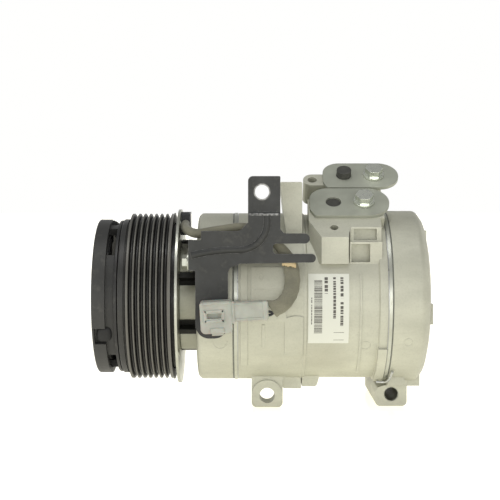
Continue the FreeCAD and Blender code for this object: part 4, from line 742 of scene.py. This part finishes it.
def rubber_bumpers():
    """Rubber blocks that fill the three notches of the hub's cup."""
    bm = bmesh.new()
    for top in NOTCH_TOPS:
        rings = []
        for k in range(9):
            share = k / 8.0
            squeeze = 1.0 - 0.35 * abs(2.0 * share - 1.0) ** 3
            angle = top - 0.6 - 11.8 * share
            rings.append([front_point((BUMPER_X + (x - BUMPER_X) * squeeze) * MM, angle,
                                      (BUMPER_RADIUS + (radius - BUMPER_RADIUS) * squeeze) * MM)
                          for x, radius in BUMPER_PROFILE])
        loft(bm, rings)
    piece = mesh_piece("hub_bumpers", bm, "armature_body", MATERIALS["damper_rubber"],
                       50.0)
    soft = piece.modifiers.new("soft", "SUBSURF")
    soft.levels = soft.render_levels = 2


DIMPLE_STEPS = 14


def dimple(bm, centre, size, height):
    """A pressed dimple on the rear face of the coil plate."""
    rings = []
    for k in range(4):
        lift = math.sin(k / 3.0 * math.pi / 2) * height
        reach = math.cos(k / 3.0 * math.pi / 2) * size + 0.05 * MM
        ring = []
        for j in range(DIMPLE_STEPS):
            turn = 2 * math.pi * j / DIMPLE_STEPS
            step = Vector((lift, reach * math.cos(turn), reach * math.sin(turn)))
            ring.append(bm.verts.new(centre + step))
        rings.append(ring)
    for ring, after in zip(rings, rings[1:]):
        for j in range(DIMPLE_STEPS):
            beside = (j + 1) % DIMPLE_STEPS
            bm.faces.new((ring[j], ring[beside], after[beside], after[j]))
    bm.faces.new(rings[-1])


NOSE_LANDS = 7
SLOT_HALF = 7.5
FIRST_SLOT = 23.4


def nose_lands():
    """Broad cast lands round the nose, with narrow slots between them that show dark from the painted shade
    on the nose.
    """
    bm = bmesh.new()
    for number in range(NOSE_LANDS):
        top = FIRST_SLOT - SLOT_HALF - 360.0 / NOSE_LANDS * number
        bottom = top - 360.0 / NOSE_LANDS + 2.0 * SLOT_HALF
        rings = []
        for k in range(19):
            angle = top + (bottom - top) * k / 18.0
            ease = 2.4 * MM * abs(k / 9.0 - 1.0) ** 3
            rings.append([front_point(x, angle, radius)
                          for x, radius in ((18.5 * MM, 30.5 * MM), (18.5 * MM, 36.3 * MM - ease),
                                            (19.0 * MM, 36.8 * MM - ease), (29.6 * MM, 36.8 * MM - ease),
                                            (29.6 * MM, 30.5 * MM))])
        loft(bm, rings)
    mesh_piece("nose_lands", bm, "casing", MATERIALS["cast_aluminium"], 40.0)


DIMPLE_ANGLES = (38.0, 52.0, 66.0, 114.0, 128.0, 218.0, 322.0)


def coil_plate_details():
    """The row of dimples round the edge of the coil plate."""
    bm = bmesh.new()
    for angle in DIMPLE_ANGLES:
        dimple(bm, front_point(18.25 * MM, angle, 51.6 * MM), 2.3 * MM, 0.9 * MM)
    mesh_piece("coil_plate_dimples", bm, "casing", MATERIALS["zinc_plate"], 50.0)


# ---------------------------------------------------------------- rear details

TAB_ROUTE = [(143.6, -21.5, -53.2), (147.6, -22.5, -53.6), (150.4, -25.5, -52.4), (151.6, -31.0, -48.8),
             (152.0, -36.6, -44.4)]
BUSH_SECTION = [(4.5, -15.5), (4.5, -3.0), (4.1, -3.0), (4.1, -15.2), (4.3, -15.7)]
BUSH_STEPS = 48


def rear_details():
    """Gasket tab that shows under the joint, and the plain bush in the lower rear lug."""
    tube_piece("gasket_tab", TAB_ROUTE, MATERIALS["spring_steel"])
    lug = MOUNTS["lower_rear_lug"]
    bm = bmesh.new()
    rows = []
    for k in range(BUSH_STEPS):
        turn = 2.0 * math.pi * k / BUSH_STEPS
        across, up = math.cos(turn) * MM, math.sin(turn) * MM
        rows.append([bm.verts.new((lug.x + across * r, y * MM, lug.z + up * r)) for r, y in BUSH_SECTION])
    for row, after in zip(rows, rows[1:] + rows[:1]):
        for j in range(len(row)):
            beside = (j + 1) % len(row)
            bm.faces.new((row[j], row[beside], after[beside], after[j]))
    mesh_piece("lug_bush", bm, "casing", MATERIALS["zinc_plate"], 30.0)


# ---------------------------------------------------------------- camera, light, floor

FLOOR_HALF = 6.0
FLOOR_GAP = 0.0003
FLOOR_GLOW = (1.0, 0.955, 0.80, 1.0)
CAMERA_PLACE = Vector((0.0628, -0.7474, 0.0691))
CAMERA_PITCH = 3.0
LENS = 82.3
FLOOR_LEVEL = CAD_BOX[0].z


def camera():
    data = bpy.data.cameras.new("camera")
    data.sensor_width = 36.0
    data.lens = LENS
    data.clip_start = 0.01
    data.clip_end = 50.0
    eye = bpy.data.objects.new("camera", data)
    eye.location = CAMERA_PLACE
    eye.rotation_euler = (math.radians(90.0 - CAMERA_PITCH), 0.0, 0.0)
    bpy.context.scene.collection.objects.link(eye)
    bpy.context.scene.camera = eye


LIGHT_TARGET = (0.07, 0.0, 0.0)


def area_light(name, place, size, power):
    """A soft box that faces the object."""
    data = bpy.data.lights.new(name, "AREA")
    data.shape = "RECTANGLE"
    data.size, data.size_y = size
    data.energy = power
    lamp = bpy.data.objects.new(name, data)
    lamp.location = place
    lamp.rotation_euler = (Vector(LIGHT_TARGET) - Vector(place)).to_track_quat("-Z", "Y").to_euler()
    bpy.context.scene.collection.objects.link(lamp)


def studio():
    """Even white room, dimmer overhead, over a bright table that lights the underside."""
    world = bpy.data.worlds.new("studio")
    world.use_nodes = True
    tree = world.node_tree
    sky = tree.nodes["Background"]
    sky.inputs["Color"].default_value = (1.0, 1.0, 0.99, 1.0)
    heading = tree.nodes.new("ShaderNodeTexCoord")
    parts = tree.nodes.new("ShaderNodeSeparateXYZ")
    dimmer = tree.nodes.new("ShaderNodeMapRange")
    for socket, number in (("From Min", 0.22), ("From Max", 0.65), ("To Min", 1.0), ("To Max", 0.30)):
        dimmer.inputs[socket].default_value = number
    tree.links.new(heading.outputs["Generated"], parts.inputs[0])
    tree.links.new(parts.outputs["Z"], dimmer.inputs["Value"])
    tree.links.new(dimmer.outputs["Result"], sky.inputs["Strength"])
    bpy.context.scene.world = world
    area_light("front_box", place=(0.25, -1.1, 0.10), size=(0.5, 0.35), power=1.25)
    area_light("top_box", place=(0.05, -0.35, 0.95), size=(0.35, 0.25), power=2.4)
    area_light("left_box", place=(-0.85, -0.65, 0.25), size=(0.25, 0.7), power=1.4)
    view = bpy.context.scene.view_settings
    view.view_transform = "Standard"
    view.look = "None"
    view.exposure = 0.0


def floor():
    """Pale table top, lit from within."""
    bm = bmesh.new()
    far, level = FLOOR_HALF, FLOOR_LEVEL - FLOOR_GAP
    corners = [(-far, -far, level), (far, -far, level), (far, far, level), (-far, far, level)]
    bm.faces.new([bm.verts.new(corner) for corner in corners])
    mesh = bpy.data.meshes.new("floor")
    bm.to_mesh(mesh)
    bm.free()
    sheet = bpy.data.objects.new("floor", mesh)
    bpy.context.scene.collection.objects.link(sheet)
    g = Graph("floor_acrylic")
    g.shader.inputs["Emission Color"].default_value = FLOOR_GLOW
    g.shader.inputs["Emission Strength"].default_value = 0.72
    rough = g.spread(g.noise(2.0), 0.10, 0.16)
    mesh.materials.append(g.finish((0.93, 0.93, 0.90), rough, Specular_IOR_Level=0.35))


# ---------------------------------------------------------------- build

dress_frame()
camera()
studio()
floor()
casting_marks()
label_print()
lead_sleeve()
lead_trim()
connector_details()
rubber_bumpers()
nose_lands()
coil_plate_details()
rear_details()
